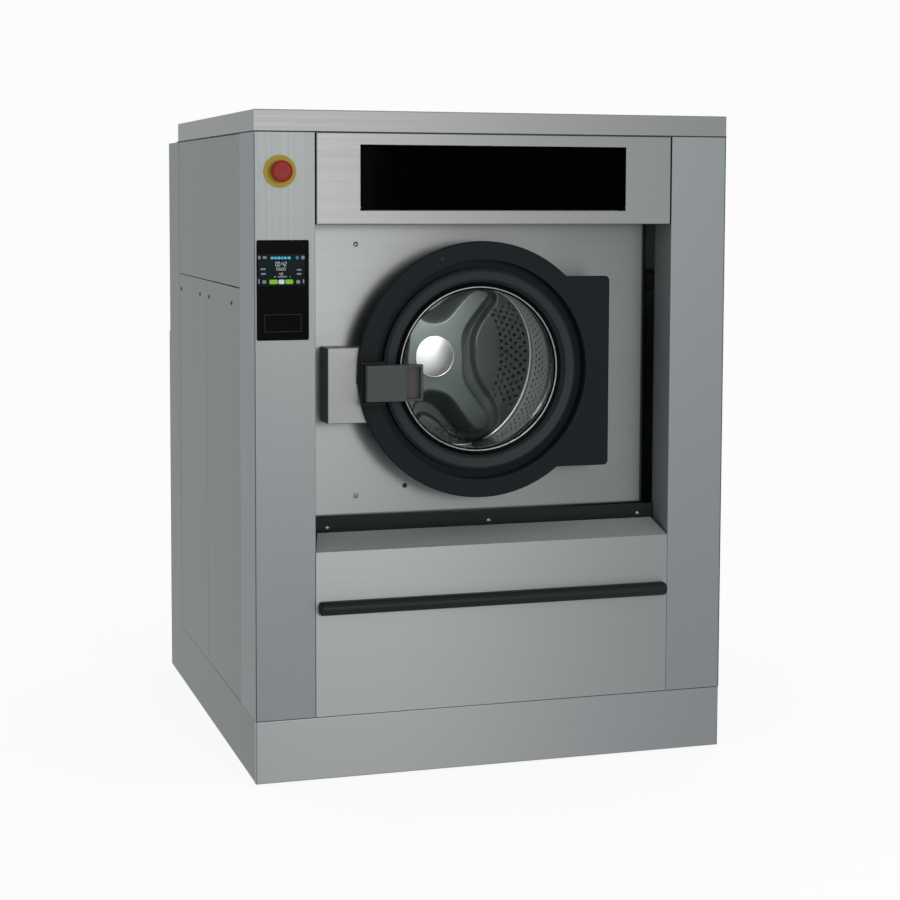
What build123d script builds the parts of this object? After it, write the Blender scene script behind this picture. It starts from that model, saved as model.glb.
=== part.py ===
"""Free-standing washer-extractor with a sprung tub, a side-hung round door and a stainless cabinet.

Millimetres. X runs to the right along the front, Y runs into the machine, Z is up, and the origin
is on the floor under the middle of the overall box. Depths are measured from the cabinet's front plane.
"""

import os
from math import acos, atan2, cos, degrees, hypot, radians, sin, sqrt, tan

from build123d import *

os.makedirs("parts", exist_ok=True)

# Cabinet, outside
cabinet_width = 1266
cabinet_depth = 1316
cabinet_height = 1690
plinth_height = 163
floor_gap = 3
cover_height = 54
cover_short = 148
cover_corner = 45
step_drop = 634
step_back = 16
column_width = 154
column_depth = 187
side_split_depth = 660
rear_column_wide = 201
waist_drop = 448
sheet = 2
seam = 0.9
panel_bend = 3
lip_depth = 20

# Front recess, fascia and lower front panel
recess_wall_depth = 107
fascia_drop = 283
fascia_gap = 3
fascia_lip = 30
ledge_low = 584
ledge_high = 621
ledge_depth = 70
ledge_lip = 26
ledge_taper = 20
trough_depth = 96
trough_low = 560
trough_high = 655
bar_height = 442
bar_radius = 17
bar_reach = 28
bar_end_gap = 7
bar_end_round = 8

# Cabinet frame
post_size = 50
rail_wide = 40
tube_wall = 3
base_rail_wide = 60
base_rail_high = 100
base_wall = 5
foot_plate_width = 200
foot_plate_length = 160
foot_plate_thick = 12
foot_inset = 40
anchor_radius = 9
anchor_offset = 60
cross_wide = 190
front_cross_depth = 250
rear_cross_depth = 720
end_cross_wide = 60
weld_gap = 0.2

# Tub and its suspension
tub_x = -36
tub_height = 1034
tub_radius = 386
tub_wall = 4
tub_plate = 8
tub_front_depth = 125
tub_length = 515
mouth_radius = 256
panel_front_depth = 105
panel_gap_left = 9
panel_gap_right = 24
panel_low = 648
panel_tuck = 13
panel_roll = 15
carrier_thick = 17.7
carrier_side_share = 0.41573
carrier_half_height = 300
soft_gap = 0.3
spring_offset = 380
spring_front_depth = 215
spring_rear_depth = 755
spring_mean_radius = 42
spring_wire = 7
spring_turns = 6
seat_radius = 58
seat_thick = 8
damper_front_depth = 300
damper_rear_depth = 670
damper_radius = 22
damper_rod_radius = 9
damper_top = 250
damper_floor = 18
damper_rod_low = 38
beam_wide = 60
beam_high = 80
beam_low = 345
beam_front_depth = 175
beam_rear_depth = 820
saddle_thick = 10
saddle_front_depth = 200
saddle_rear_depth = 540
saddle_shoulder = 95
saddle_reach = 330
saddle_top = 760
motor_plate_thick = 12
motor_plate_front = 600
motor_plate_rear = 790
sump_depth = 400
sump_radius = 38
sump_low = 590
inlet_x = 200
inlet_depth = 180
inlet_radius = 45
inlet_overlap = 15

# Drum
drum_radius = 355
drum_wall = 2.5
drum_front_depth = 150
drum_rear_depth = 590
drum_mouth_radius = 240
drum_lip_radius = 5
drum_back_depth = 575
drum_fit = 0.2
bead_radius = 341
bead_wire = 5
star_depth = 450
star_arms = 3
star_hub_half = 52
star_tip_half = 24
star_tip_radius = 255
star_spread = 62
star_corner = 120
star_tip_corner = 20
hub_cap_radius = 57
hub_cap_depth = 441
lifter_crest_radius = 318
lifter_half_base = 52
lifter_half_crest = 16
lifter_front_depth = 175
lifter_round = 12
spider_hub_radius = 60
spider_hub_front = 460
spider_hub_rear = 615
spider_arm_half = 28
spider_arm_front = 580
spider_arm_rear = 606
shaft_radius = 40
shaft_rear = 905
housing_radius = 92
housing_flange_radius = 165
housing_flange = 15
housing_rear = 812
housing_ribs = 6
housing_rib_thick = 12
bearing_outer = 60
bearing_wide = 30
bearing_inset = 5
running_gap = 0.05

# Drive
pulley_radius = 300
pulley_front = 835
pulley_wide = 56
pulley_rim = 16
pulley_web = 14
pulley_hub_radius = 70
pulley_hole_radius = 62
pulley_hole_circle = 175
pulley_holes = 6
motor_x = 144
motor_height = 316
motor_radius = 100
motor_front = 575
motor_rear = 812
motor_fins = 24
motor_fin_high = 7
motor_fin_thick = 4
motor_foot_half = 70
motor_shaft_radius = 19
motor_pulley_radius = 60
motor_bore_depth = 120
belt_thick = 8
belt_wide = 44
belt_gap = 0.3

# Door
door_front_depth = 12
door_radius = 330
door_flange = 14
door_edge = 3
door_body_radius = 296
door_face_radius = 283
door_groove_depth = 47
door_back_depth = 97
inner_ring_radius = 260
inner_ring_front = 20
inner_ring_crown = 8
inner_ring_step = 232
inner_ring_bore = 224
inner_ring_seat = 40
trim_radius = 218
trim_wire = 3
glass_thick = 7
glass_rim_depth = 44
glass_neck_radius = 210
glass_bowl_radius = 188
glass_bowl_depth = 148
glass_end_depth = 168
glass_end_radius = 150
wing_right = 312
wing_low = 776
wing_high = 1272
wing_corner = 12
hinge_x = 285
hinge_depth = 60
hinge_offset = 160
hinge_pin_radius = 10
knuckle_radius = 18
knuckle_half = 24
ear_thick = 12
hinge_base_thick = 8
hinge_base_half = 60
hinge_base_left = 263
hinge_base_right = 300
gasket_lip = 6
gasket_front = 98
gasket_inner = 234
gasket_wall = 10
gasket_flange = 264

# Door handle and lock
handle_left = -351
handle_right = -204
handle_low = 962
handle_high = 1054
handle_front = -20
handle_thick = 20
handle_edge = 3
pivot_x = -343
pivot_depth = -9
pivot_radius = 4
pocket_left = -247
pocket_right = -211
pocket_margin = 6
pocket_depth = 13
bracket_left = -361
bracket_right = -324
bracket_plate = 7
bracket_ear = 7
bracket_ear_gap = 2
bracket_ear_right = -303
lock_left = -440
lock_right = -337
lock_low = 905
lock_high = 1096
lock_front = 28
lock_pin_x = -352
lock_pin_depth = 52
lock_pin_radius = 5
lock_pin_low = 934
lock_pin_high = 1008
tongue_half = 9
tongue_low = 1010
tongue_thick = 8
tongue_rear = 66
tongue_hole = 6
slot_margin = 6
solenoid_half = 12
solenoid_front = 36
solenoid_low = 915
solenoid_high = 965

# Dispenser
flap_x = -7
flap_width = 709
flap_tall = 161
flap_drop = 86
flap_thick = 9
flap_proud = 1
flap_gap = 2
flap_edge = 1
flap_axis_rise = 7
flap_pin_radius = 2.5
flap_pin_reach = 14
flap_hinge_wide = 12
flap_hinge_high = 20
flap_notch_drops = (32, 12)
flap_notch_wide = 4
hopper_width = 686
hopper_front = 20
hopper_rear = 200
hopper_inset = 4
hopper_wall = 4
hopper_bays = 4
hopper_pour_rise = 53
hopper_rail_tall = 14
hopper_rail_rear = 44
spout_radius = 25
spout_bore = 22
spout_drop = 40

# Controls
bezel_inset = 6
bezel_wide = 131
bezel_drop = 321
bezel_tall = 248
bezel_thick = 5
bezel_corner = 4
screen_inset = 3
screen_wide = 117
screen_drop = 35
screen_tall = 78
screen_proud = 4.4
screen_rear = 14
estop_inset = 65
estop_drop = 152
estop_reach = 32
estop_disc_radius = 40.5
estop_disc_thick = 3
estop_hole_radius = 15
estop_collar_radius = 21
estop_collar_front = 11
estop_barrel_radius = 14.7
estop_block_half = 22
estop_block_front = 5
estop_block_rear = 52
estop_plunger_radius = 8
estop_tip_radius = 6
estop_tip_front = 29
estop_shoulder_front = 19
estop_plunger_rear = 20
estop_head_radius = 27
estop_head_back = 18
estop_head_skirt = 7
estop_fit = 0.06

# Rear and services
rear_return = 92
back_panel_lip = 20
louvre_count = 8
louvre_width = 320
louvre_high = 10
louvre_pitch = 26
louvre_drop = 390
drain_height = 228
drain_bore = 34
drain_reach = 45
drain_body_half = 60
drain_body_low = 175
drain_body_high = 290
drain_neck_high = 320
drain_flange_radius = 52
drain_flange_thick = 6
drain_pipe_radius = 37
drain_collar_radius = 46
drain_collar_thick = 5
hose_radius = 48
inlet_pipe_x_shares = (0.62, 0.74)
inlet_pipe_drop = 270
inlet_pipe_radius = 13.2
inlet_pipe_bore = 9
inlet_body_radius = 22
inlet_body_long = 62
inlet_nut_radius = 20
inlet_nut_thick = 8
inlet_pipe_reach = 36
gland_inset = 70.1
gland_drop = 270
gland_radius = 16
gland_bore = 9
gland_reach = 30
gland_nut_radius = 20
gland_nut_thick = 6
gland_inside = 38
ebox_clearance = 87
ebox_long = 235
ebox_gap = 30
ebox_tall = 502
ebox_rise = 20
ebox_edge = 4
screw_radius = 6.5
screw_dome = 3
side_screw_drop = 44
front_panel_screw_insets = (106, 40)
rear_panel_screw_insets = (103, 33)
trough_screw_insets = (52.1, 45.1)
trough_screw_middle = 10
trough_screw_height = 628
panel_screw_x = -348
panel_screw_rise = 59
panel_screw_drop = 65
plug_screw_x = -217
plug_screw_height = 729
overrun = 5

# Worked out from the sizes above
half_width = cabinet_width / 2
front_y = estop_reach - (cabinet_depth + estop_reach + drain_reach) / 2
upper_rear_depth = cabinet_depth - step_back
rear_column_depth = cabinet_depth - rear_column_wide
cover_depth = cabinet_depth - cover_short
body_top = cabinet_height - cover_height - seam
step_height = cabinet_height - step_drop
upper_panel_height = cabinet_height - waist_drop
fascia_height = cabinet_height - fascia_drop
recess_half = half_width - column_width
front_half = recess_half - seam
back_half = half_width - rear_return - seam
base_top = foot_plate_thick + base_rail_high
panel_left = recess_half - panel_gap_left
panel_right = recess_half - panel_gap_right
panel_high = fascia_height + panel_tuck
carrier_half_width = mouth_radius + carrier_side_share * (panel_left + tub_x - mouth_radius)
flap_high = cabinet_height - flap_drop
flap_low = flap_high - flap_tall
flap_notch_low, flap_notch_high = (flap_high - drop for drop in flap_notch_drops)
hopper_low = flap_low + hopper_inset
hopper_high = flap_high - hopper_inset
hopper_pour_height = hopper_low + hopper_pour_rise
hopper_rail_high = flap_low - hopper_inset
hopper_rail_low = hopper_rail_high - hopper_rail_tall
spout_low = hopper_rail_low - spout_drop
inlet_top = spout_low + inlet_overlap
bezel_left = bezel_inset - half_width
bezel_right = bezel_left + bezel_wide
bezel_high = cabinet_height - bezel_drop
bezel_low = bezel_high - bezel_tall
screen_left = bezel_left + screen_inset
screen_right = screen_left + screen_wide
screen_high = bezel_high - screen_drop
screen_low = screen_high - screen_tall
estop_x = estop_inset - half_width
estop_height = cabinet_height - estop_drop
louvre_height = cabinet_height - louvre_drop
inlet_pipe_height = cabinet_height - inlet_pipe_drop
inlet_body_front = upper_rear_depth - inlet_body_long
gland_x = gland_inset - back_half
gland_height = cabinet_height - gland_drop
gland_front = upper_rear_depth - gland_inside
ebox_rear = rear_column_depth - ebox_gap
ebox_front = ebox_rear - ebox_long
ebox_left = lip_depth + rail_wide - half_width
ebox_right = tub_x - pulley_radius - ebox_clearance
ebox_high = upper_panel_height + ebox_rise
ebox_low = ebox_high - ebox_tall
side_screw_height = upper_panel_height - side_screw_drop
side_screw_depths = (
    column_depth + front_panel_screw_insets[0],
    side_split_depth - front_panel_screw_insets[1],
    side_split_depth + rear_panel_screw_insets[0],
    rear_column_depth - rear_panel_screw_insets[1],
)
trough_screw_xs = (
    trough_screw_insets[0] - front_half,
    trough_screw_middle,
    front_half - trough_screw_insets[1],
)
panel_screw_low = panel_low + panel_screw_rise
panel_screw_high = panel_high - panel_screw_drop
flap_axis_height = flap_low + flap_axis_rise
flap_axis_depth = flap_thick / 2 - flap_proud
motor_distance = hypot(motor_x - tub_x, tub_height - motor_height)


def deep(depth):
    """Y of a depth behind the cabinet's front plane."""
    return front_y + depth


def write(piece, name):
    piece.label = name
    export_step(piece, f"parts/{name}.step")


def block(x_span, y_span, z_span, mode=Mode.ADD):
    """Adds a box between two values on each axis."""
    spans = (x_span, y_span, z_span)
    with Locations(tuple((low + high) / 2 for low, high in spans)):
        Box(*(high - low for low, high in spans), mode=mode)


def deep_span(front, rear):
    return (deep(front), deep(rear))


def round_y(x, z, radius, depths, mode=Mode.ADD):
    """Adds a cylinder along Y between two depths."""
    with BuildSketch(Plane.XZ.offset(-deep(depths[0]))) as disc:
        with Locations((x, z)):
            Circle(radius)
    extrude(disc.sketch, amount=depths[0] - depths[1], mode=mode)


def round_z(x, depth, radius, heights, mode=Mode.ADD):
    """Adds a cylinder along Z between two heights."""
    with BuildSketch(Plane.XY.offset(heights[0])) as disc:
        with Locations((x, deep(depth))):
            Circle(radius)
    extrude(disc.sketch, amount=heights[1] - heights[0], mode=mode)


def rounded(spans, axis, outward, radius):
    """A block whose edges are rounded round the face on one side."""
    with BuildPart() as solid:
        block(*spans)
        face = solid.faces().sort_by((Axis.X, Axis.Y, Axis.Z)[axis])[-1 if outward else 0]
        fillet(face.edges(), radius)
    return solid.part


def pan(x_span, y_span, z_span, open_side, wall=sheet, bend=panel_bend):
    """A folded sheet-metal pan: a face with a rounded border and lips, open on one side."""
    spans = [x_span, y_span, z_span]
    axis = "XYZ".index(open_side[1])
    opens_up = open_side[0] == "+"
    inner = [(low + wall, high - wall) for low, high in spans]
    low, high = spans[axis]
    inner[axis] = (low + wall, high + overrun) if opens_up else (low - overrun, high - wall)
    with BuildPart() as folded:
        add(rounded(spans, axis, not opens_up, bend))
        add(rounded(inner, axis, not opens_up, max(bend - wall, wall / 2)), mode=Mode.SUBTRACT)
    return folded.part


def tube(x_span, y_span, z_span, along, wall):
    """A square or rectangular tube with open ends along one axis."""
    spans = [x_span, y_span, z_span]
    inner = [(low + wall, high - wall) for low, high in spans]
    low, high = spans["XYZ".index(along)]
    inner["XYZ".index(along)] = (low - overrun, high + overrun)
    with BuildPart() as hollow:
        block(*spans)
        block(*inner, mode=Mode.SUBTRACT)
    return hollow.part


def about(centre_x, half):
    return (centre_x - half, centre_x + half)


def turned(points, centre_x, centre_z):
    """Revolves a closed outline of (radius, depth) points about an axis along Y."""
    axis_plane = Plane(origin=(centre_x, front_y, centre_z), x_dir=(1, 0, 0), z_dir=(0, 0, 1))
    with BuildSketch(axis_plane) as outline:
        with BuildLine():
            Polyline(*points, close=True)
        make_face()
    revolve(outline.sketch, axis=Axis((centre_x, front_y, centre_z), (0, 1, 0)))


# Base frame: foot plates, two side rails and four cross members with the lower spring seats. Its
# members, and those of the cabinet frame, stand a weld's width apart.
rail_outer = half_width - lip_depth
rail_inner = rail_outer - base_rail_wide
rail_rear_depth = cabinet_depth - lip_depth
with BuildPart() as base_frame:
    for side in (-1, 1):
        rail_x = tuple(sorted((side * rail_inner, side * rail_outer)))
        rail_depths = deep_span(lip_depth, rail_rear_depth)
        add(tube(rail_x, rail_depths, (foot_plate_thick, base_top), "Y", base_wall))
    cross_half = rail_inner - weld_gap
    for cross_depth, wide in (
        (lip_depth + end_cross_wide / 2, end_cross_wide),
        (front_cross_depth, cross_wide),
        (rear_cross_depth, cross_wide),
        (rail_rear_depth - end_cross_wide / 2, end_cross_wide),
    ):
        depths = deep_span(cross_depth - wide / 2, cross_depth + wide / 2)
        add(tube((-cross_half, cross_half), depths, (foot_plate_thick, base_top), "X", base_wall))
    plate_starts = (lip_depth + foot_inset, rail_rear_depth - foot_inset - foot_plate_length)
    anchor_x = rail_inner - anchor_offset
    anchor_depths = tuple(start + foot_plate_length / 2 for start in plate_starts)
    for side in (-1, 1):
        for start in plate_starts:
            plate_x = tuple(sorted((side * rail_outer, side * (rail_outer - foot_plate_width))))
            plate_depths = deep_span(start, start + foot_plate_length)
            block(plate_x, plate_depths, (0, foot_plate_thick - weld_gap))
        for start in anchor_depths:
            anchor_z = (-overrun, foot_plate_thick + overrun)
            round_z(side * anchor_x, start, anchor_radius, anchor_z, mode=Mode.SUBTRACT)
    for side in (-1, 1):
        for seat_depth in (spring_front_depth, spring_rear_depth):
            seat_z = (base_top + weld_gap, base_top + seat_thick)
            round_z(tub_x + side * spring_offset, seat_depth, seat_radius, seat_z)
write(base_frame.part, "base_frame")

# Cabinet frame: corner posts, middle stiles, waist rails and the ring under the top cover
skin_inner = half_width - lip_depth
front_post = (column_depth + seam - post_size, column_depth + seam)
rear_post = (rear_column_depth - seam, rear_column_depth - seam + post_size)
top_rail_low = body_top
top_rail_high = cabinet_height - sheet
top_ring_x = half_width - sheet - seam
top_ring_end = top_ring_x - post_size
with BuildPart() as cabinet_frame:
    for side in (-1, 1):
        post_x = tuple(sorted((side * skin_inner, side * (skin_inner - post_size))))
        for start, end in (front_post, rear_post):
            add(tube(post_x, deep_span(start, end), (base_top, top_rail_low - weld_gap), "Z", tube_wall))
        stile_x = tuple(sorted((side * skin_inner, side * (skin_inner - rail_wide))))
        stile_depths = deep_span(side_split_depth - post_size / 2, side_split_depth + post_size / 2)
        stile_z = (base_top, upper_panel_height - post_size / 2 - weld_gap)
        add(tube(stile_x, stile_depths, stile_z, "Z", tube_wall))
    for side in (-1, 1):
        top_x = tuple(sorted((side * top_ring_x, side * (top_ring_x - post_size))))
        top_depths = deep_span(sheet + seam, cover_depth - cover_corner)
        add(tube(top_x, top_depths, (top_rail_low, top_rail_high), "Y", tube_wall))
        waist_x = tuple(sorted((side * skin_inner, side * (skin_inner - rail_wide))))
        waist_z = about(upper_panel_height, post_size / 2)
        waist_depths = deep_span(front_post[1] + weld_gap, rear_post[0] - weld_gap)
        add(tube(waist_x, waist_depths, waist_z, "Y", tube_wall))
    ring_half = top_ring_end - weld_gap
    for start in (sheet + seam, cover_depth - cover_corner - post_size):
        ring_depths = deep_span(start, start + post_size)
        add(tube((-ring_half, ring_half), ring_depths, (top_rail_low, top_rail_high), "X", tube_wall))
write(cabinet_frame.part, "cabinet_frame")

# Plinth: a full-width front skirt, and side and rear skirts behind it
skirt_z = (floor_gap, plinth_height)
with BuildPart() as plinth_front:
    add(pan((-half_width, half_width), deep_span(0, lip_depth), skirt_z, "+Y"))
write(plinth_front.part, "plinth_front")

with BuildPart() as plinth_skirts:
    skirt_depths = deep_span(lip_depth + seam, cabinet_depth)
    add(pan((-half_width, -half_width + lip_depth), skirt_depths, skirt_z, "+X"))
    add(pan((half_width - lip_depth, half_width), skirt_depths, skirt_z, "-X"))
    rear_skirt_half = half_width - lip_depth - seam
    rear_skirt_depths = deep_span(cabinet_depth - lip_depth, cabinet_depth)
    add(pan((-rear_skirt_half, rear_skirt_half), rear_skirt_depths, skirt_z, "-Y"))
write(plinth_skirts.part, "plinth_skirts")

# Front columns: folded channels that wrap round the cabinet's corners
body_low = plinth_height + seam
body_z = (body_low, body_top)


def column(side):
    """Side wall, front wall and the shorter wall beside the recess."""
    outer, inner = side * half_width, side * recess_half
    with BuildPart() as channel:
        with BuildSketch(Plane.XY.offset(body_low)):
            with BuildLine():
                Polyline(
                    (outer, deep(column_depth)),
                    (outer, deep(0)),
                    (inner, deep(0)),
                    (inner, deep(recess_wall_depth)),
                    (inner + side * sheet, deep(recess_wall_depth)),
                    (inner + side * sheet, deep(sheet)),
                    (outer - side * sheet, deep(sheet)),
                    (outer - side * sheet, deep(column_depth)),
                    close=True,
                )
            make_face()
        extrude(amount=body_top - body_low)
        upright = channel.edges().filter_by(Axis.Z)
        corners = upright.group_by(Axis.Y)[0]
        fillet(corners, sheet * 0.9)
    return channel.part


bezel_cut_margin = bezel_thick
with BuildPart() as left_column:
    add(column(-1))
    round_y(estop_x, estop_height, estop_hole_radius, (-overrun, sheet + overrun), mode=Mode.SUBTRACT)
    block(
        (screen_left + bezel_cut_margin, bezel_right - bezel_cut_margin),
        deep_span(-overrun, sheet + overrun),
        (bezel_low + bezel_cut_margin, bezel_high - bezel_cut_margin),
        mode=Mode.SUBTRACT,
    )
write(left_column.part, "left_column")
write(column(1), "right_column")

# Fascia over the recess, with the opening for the dispenser flap and the flap's two hinge ears
flap_x_span = about(flap_x, flap_width / 2)
flap_hole_x = (flap_x_span[0] - flap_gap, flap_x_span[1] + flap_gap)
flap_hole_z = (flap_low - flap_gap, flap_high + flap_gap)
fascia_half = recess_half - fascia_gap
with BuildPart() as fascia_panel:
    add(pan((-fascia_half, fascia_half), deep_span(0, fascia_lip), (fascia_height, body_top), "+Y"))
    block(flap_hole_x, deep_span(-overrun, sheet + overrun), flap_hole_z, mode=Mode.SUBTRACT)
    for side, hole_edge in ((-1, flap_hole_x[0]), (1, flap_hole_x[1])):
        ear_x = tuple(sorted((hole_edge, hole_edge + side * flap_hinge_wide)))
        block(ear_x, deep_span(sheet, sheet + flap_hinge_high), about(flap_axis_height, flap_hinge_high / 2))
        with BuildSketch(Plane.YZ.offset(hole_edge + side * flap_hinge_wide)):
            with Locations((deep(flap_axis_depth), flap_axis_height)):
                Circle(flap_pin_radius)
        extrude(amount=-side * (flap_hinge_wide + flap_pin_reach))
write(fascia_panel.part, "fascia_panel")

# Top cover: a shallow pan with round rear corners
with BuildPart() as top_cover:
    with BuildSketch(Plane.XY.offset(cabinet_height - cover_height)):
        with Locations((0, deep(cover_depth / 2))):
            Rectangle(cabinet_width, cover_depth)
    extrude(amount=cover_height)
    rear_corners_of_cover = top_cover.edges().filter_by(Axis.Z).group_by(Axis.Y)[-1]
    fillet(rear_corners_of_cover, cover_corner)
    fillet(top_cover.faces().sort_by(Axis.Z)[-1].edges(), panel_bend)
    with BuildSketch(Plane.XY.offset(cabinet_height - cover_height - overrun)) as cover_inside:
        with Locations((0, deep(cover_depth / 2))):
            Rectangle(cabinet_width - 2 * sheet, cover_depth - 2 * sheet)
        fillet(cover_inside.vertices().sort_by(Axis.Y)[-2:], cover_corner - sheet)
    extrude(amount=cover_height + overrun - sheet, mode=Mode.SUBTRACT)
write(top_cover.part, "top_cover")

# Side panels: one above the waist and two service panels below it, on each side
panel_depths_above = deep_span(column_depth + seam, rear_column_depth - seam)
with BuildPart() as upper_side_panels:
    above = (upper_panel_height + seam, body_top)
    add(pan((-half_width, -half_width + lip_depth), panel_depths_above, above, "+X"))
    add(pan((half_width - lip_depth, half_width), panel_depths_above, above, "-X"))
write(upper_side_panels.part, "upper_side_panels")


def service_pair(x_span, open_side):
    """The two panels below the waist on one side."""
    below = (body_low, upper_panel_height - seam)
    with BuildPart() as pair:
        add(pan(x_span, deep_span(column_depth + seam, side_split_depth - seam / 2), below, open_side))
        add(pan(x_span, deep_span(side_split_depth + seam / 2, rear_column_depth - seam), below, open_side))
    return pair.part


with BuildPart() as side_service_panels:
    add(service_pair((-half_width, -half_width + lip_depth), "+X"))
    add(service_pair((half_width - lip_depth, half_width), "-X"))
write(side_service_panels.part, "service_panels")


# Rear corners: the side wall and its return round the back, deeper below the step
def rear_corner(side):
    outer = side * half_width
    with BuildPart() as corner:
        for rear, z_span in (
            (cabinet_depth, (body_low, step_height)),
            (upper_rear_depth, (step_height, body_top)),
        ):
            x_span = tuple(sorted((outer, outer - side * rear_return)))
            block(x_span, deep_span(rear_column_depth, rear), z_span)
        for rear, z_span in (
            (cabinet_depth, (body_low - overrun, step_height - sheet)),
            (upper_rear_depth, (step_height - sheet, body_top + overrun)),
        ):
            inner = outer - side * sheet
            x_span = tuple(sorted((inner, inner - side * rear_return)))
            front = rear_column_depth - overrun
            block(x_span, deep_span(front, rear - sheet), z_span, mode=Mode.SUBTRACT)
        rear_edges = corner.edges().filter_by(Axis.Z).group_by(Axis.Y)[-1]
        fillet(rear_edges.sort_by(Axis.X)[0 if side < 0 else -1], sheet * 0.9)
    return corner.part


with BuildPart() as rear_corners:
    add(rear_corner(-1))
    add(rear_corner(1))
write(rear_corners.part, "rear_corners")

# Back panels with louvres and service holes, and the plate that closes the rear housing
inlet_xs = tuple(share * back_half for share in inlet_pipe_x_shares)
with BuildPart() as back_panels:
    upper_depths = deep_span(upper_rear_depth - back_panel_lip, upper_rear_depth)
    add(pan((-back_half, back_half), upper_depths, (step_height + seam, body_top - sheet - seam), "-Y"))
    lower_depths = deep_span(cabinet_depth - back_panel_lip, cabinet_depth)
    add(pan((-back_half, back_half), lower_depths, (body_low, step_height - seam), "-Y"))
    for row in range(louvre_count):
        slot_z = louvre_height + (row - (louvre_count - 1) / 2) * louvre_pitch
        slot_depths = deep_span(upper_rear_depth - sheet - overrun, upper_rear_depth + overrun)
        block(about(0, louvre_width / 2), slot_depths, about(slot_z, louvre_high / 2), mode=Mode.SUBTRACT)
    for inlet_x_place in inlet_xs:
        round_y(
            inlet_x_place,
            inlet_pipe_height,
            inlet_pipe_radius + soft_gap,
            (upper_rear_depth - sheet - overrun, upper_rear_depth + overrun),
            mode=Mode.SUBTRACT,
        )
    round_y(
        gland_x,
        gland_height,
        gland_radius + soft_gap,
        (upper_rear_depth - sheet - overrun, upper_rear_depth + overrun),
        mode=Mode.SUBTRACT,
    )
    round_y(
        tub_x,
        drain_height,
        sump_radius + soft_gap,
        (cabinet_depth - sheet - overrun, cabinet_depth + overrun),
        mode=Mode.SUBTRACT,
    )
    roof_depths = deep_span(rear_column_depth, upper_rear_depth - sheet)
    block((sheet - half_width, half_width - sheet), roof_depths, (body_top - sheet, body_top))
    for side in (-1, 1):
        notch_x = tuple(sorted((side * (skin_inner + seam), side * (skin_inner - post_size - seam))))
        notch_depths = deep_span(rear_column_depth - overrun, rear_post[1] + seam)
        block(notch_x, notch_depths, about(body_top - sheet / 2, sheet), mode=Mode.SUBTRACT)
write(back_panels.part, "back_panels")

# Lower front panel: upright face, sloping ledge, back lip and bottom lip in one folded sheet
ledge_slope = (ledge_high - ledge_low) / ledge_depth
ledge_drop = sheet * sqrt(1 + ledge_slope**2)
with BuildPart() as lower_front_panel:
    with BuildSketch(Plane.YZ.offset(-front_half)):
        with BuildLine():
            Polyline(
                (deep(0), body_low),
                (deep(0), ledge_low),
                (deep(ledge_depth), ledge_high),
                (deep(ledge_depth), ledge_high - ledge_lip),
                (deep(ledge_depth - sheet), ledge_high - ledge_lip),
                (deep(ledge_depth - sheet), ledge_high - ledge_slope * sheet - ledge_drop),
                (deep(sheet), ledge_low + ledge_slope * sheet - ledge_drop),
                (deep(sheet), body_low + sheet),
                (deep(lip_depth), body_low + sheet),
                (deep(lip_depth), body_low),
                close=True,
            )
        make_face()
    extrude(amount=2 * front_half)
    for side in (-1, 1):
        wall_x = tuple(sorted((side * front_half, side * (front_half - sheet))))
        block(wall_x, deep_span(sheet, lip_depth), (body_low + sheet, ledge_low - ledge_drop))
    for side in (-1, 1):
        with BuildSketch(Plane.XY.offset(ledge_low + sheet)):
            with BuildLine():
                Polyline(
                    (side * front_half, deep(sheet)),
                    (side * (front_half - ledge_taper), deep(ledge_depth + overrun)),
                    (side * (front_half + overrun), deep(ledge_depth + overrun)),
                    (side * (front_half + overrun), deep(sheet)),
                    close=True,
                )
            make_face()
        extrude(amount=ledge_high - ledge_low + overrun, mode=Mode.SUBTRACT)
write(lower_front_panel.part, "lower_front_panel")

# Black bumper bar across the lower front panel: a half-round rail with domed ends
with BuildPart() as bumper_bar:
    bar_half = front_half - bar_end_gap
    with BuildSketch(Plane.YZ.offset(-bar_half)):
        with Locations((deep(bar_radius - bar_reach), bar_height)):
            Circle(bar_radius)
        with Locations((deep(0), bar_height)):
            Rectangle(2 * (bar_reach - bar_radius), 2 * bar_radius)
        with Locations((deep(bar_reach), bar_height)):
            Rectangle(2 * bar_reach, 4 * bar_radius, mode=Mode.SUBTRACT)
    extrude(amount=2 * bar_half)
    nose_edges = bumper_bar.faces().filter_by(Axis.X).edges().filter_by(GeomType.CIRCLE)
    fillet(nose_edges, bar_end_round)
write(bumper_bar.part, "bumper_bar")

# Trough plate behind the ledge
with BuildPart() as trough_plate:
    block((-front_half, front_half), deep_span(trough_depth, trough_depth + sheet), (trough_low, trough_high))
write(trough_plate.part, "trough_plate")


def screw_y(x, z, depth):
    """A domed screw head on a face that looks forward."""
    with Locations(Location((x, deep(depth), z), (90, 0, 0))):
        Cylinder(screw_radius, screw_dome, align=(Align.CENTER, Align.CENTER, Align.MIN))


# Screw heads of the cabinet: three in the trough and four on each side
with BuildPart() as cabinet_screws:
    for x in trough_screw_xs:
        screw_y(x, trough_screw_height, trough_depth)
    for side in (-1, 1):
        for screw_depth in side_screw_depths:
            seat = (side * half_width, deep(screw_depth), side_screw_height)
            with Locations(Location(seat, (0, side * 90, 0))):
                Cylinder(screw_radius, screw_dome, align=(Align.CENTER, Align.CENTER, Align.MIN))
    fillet(cabinet_screws.edges().filter_by(GeomType.CIRCLE), screw_dome * 0.4)
write(cabinet_screws.part, "cabinet_screws")

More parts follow.
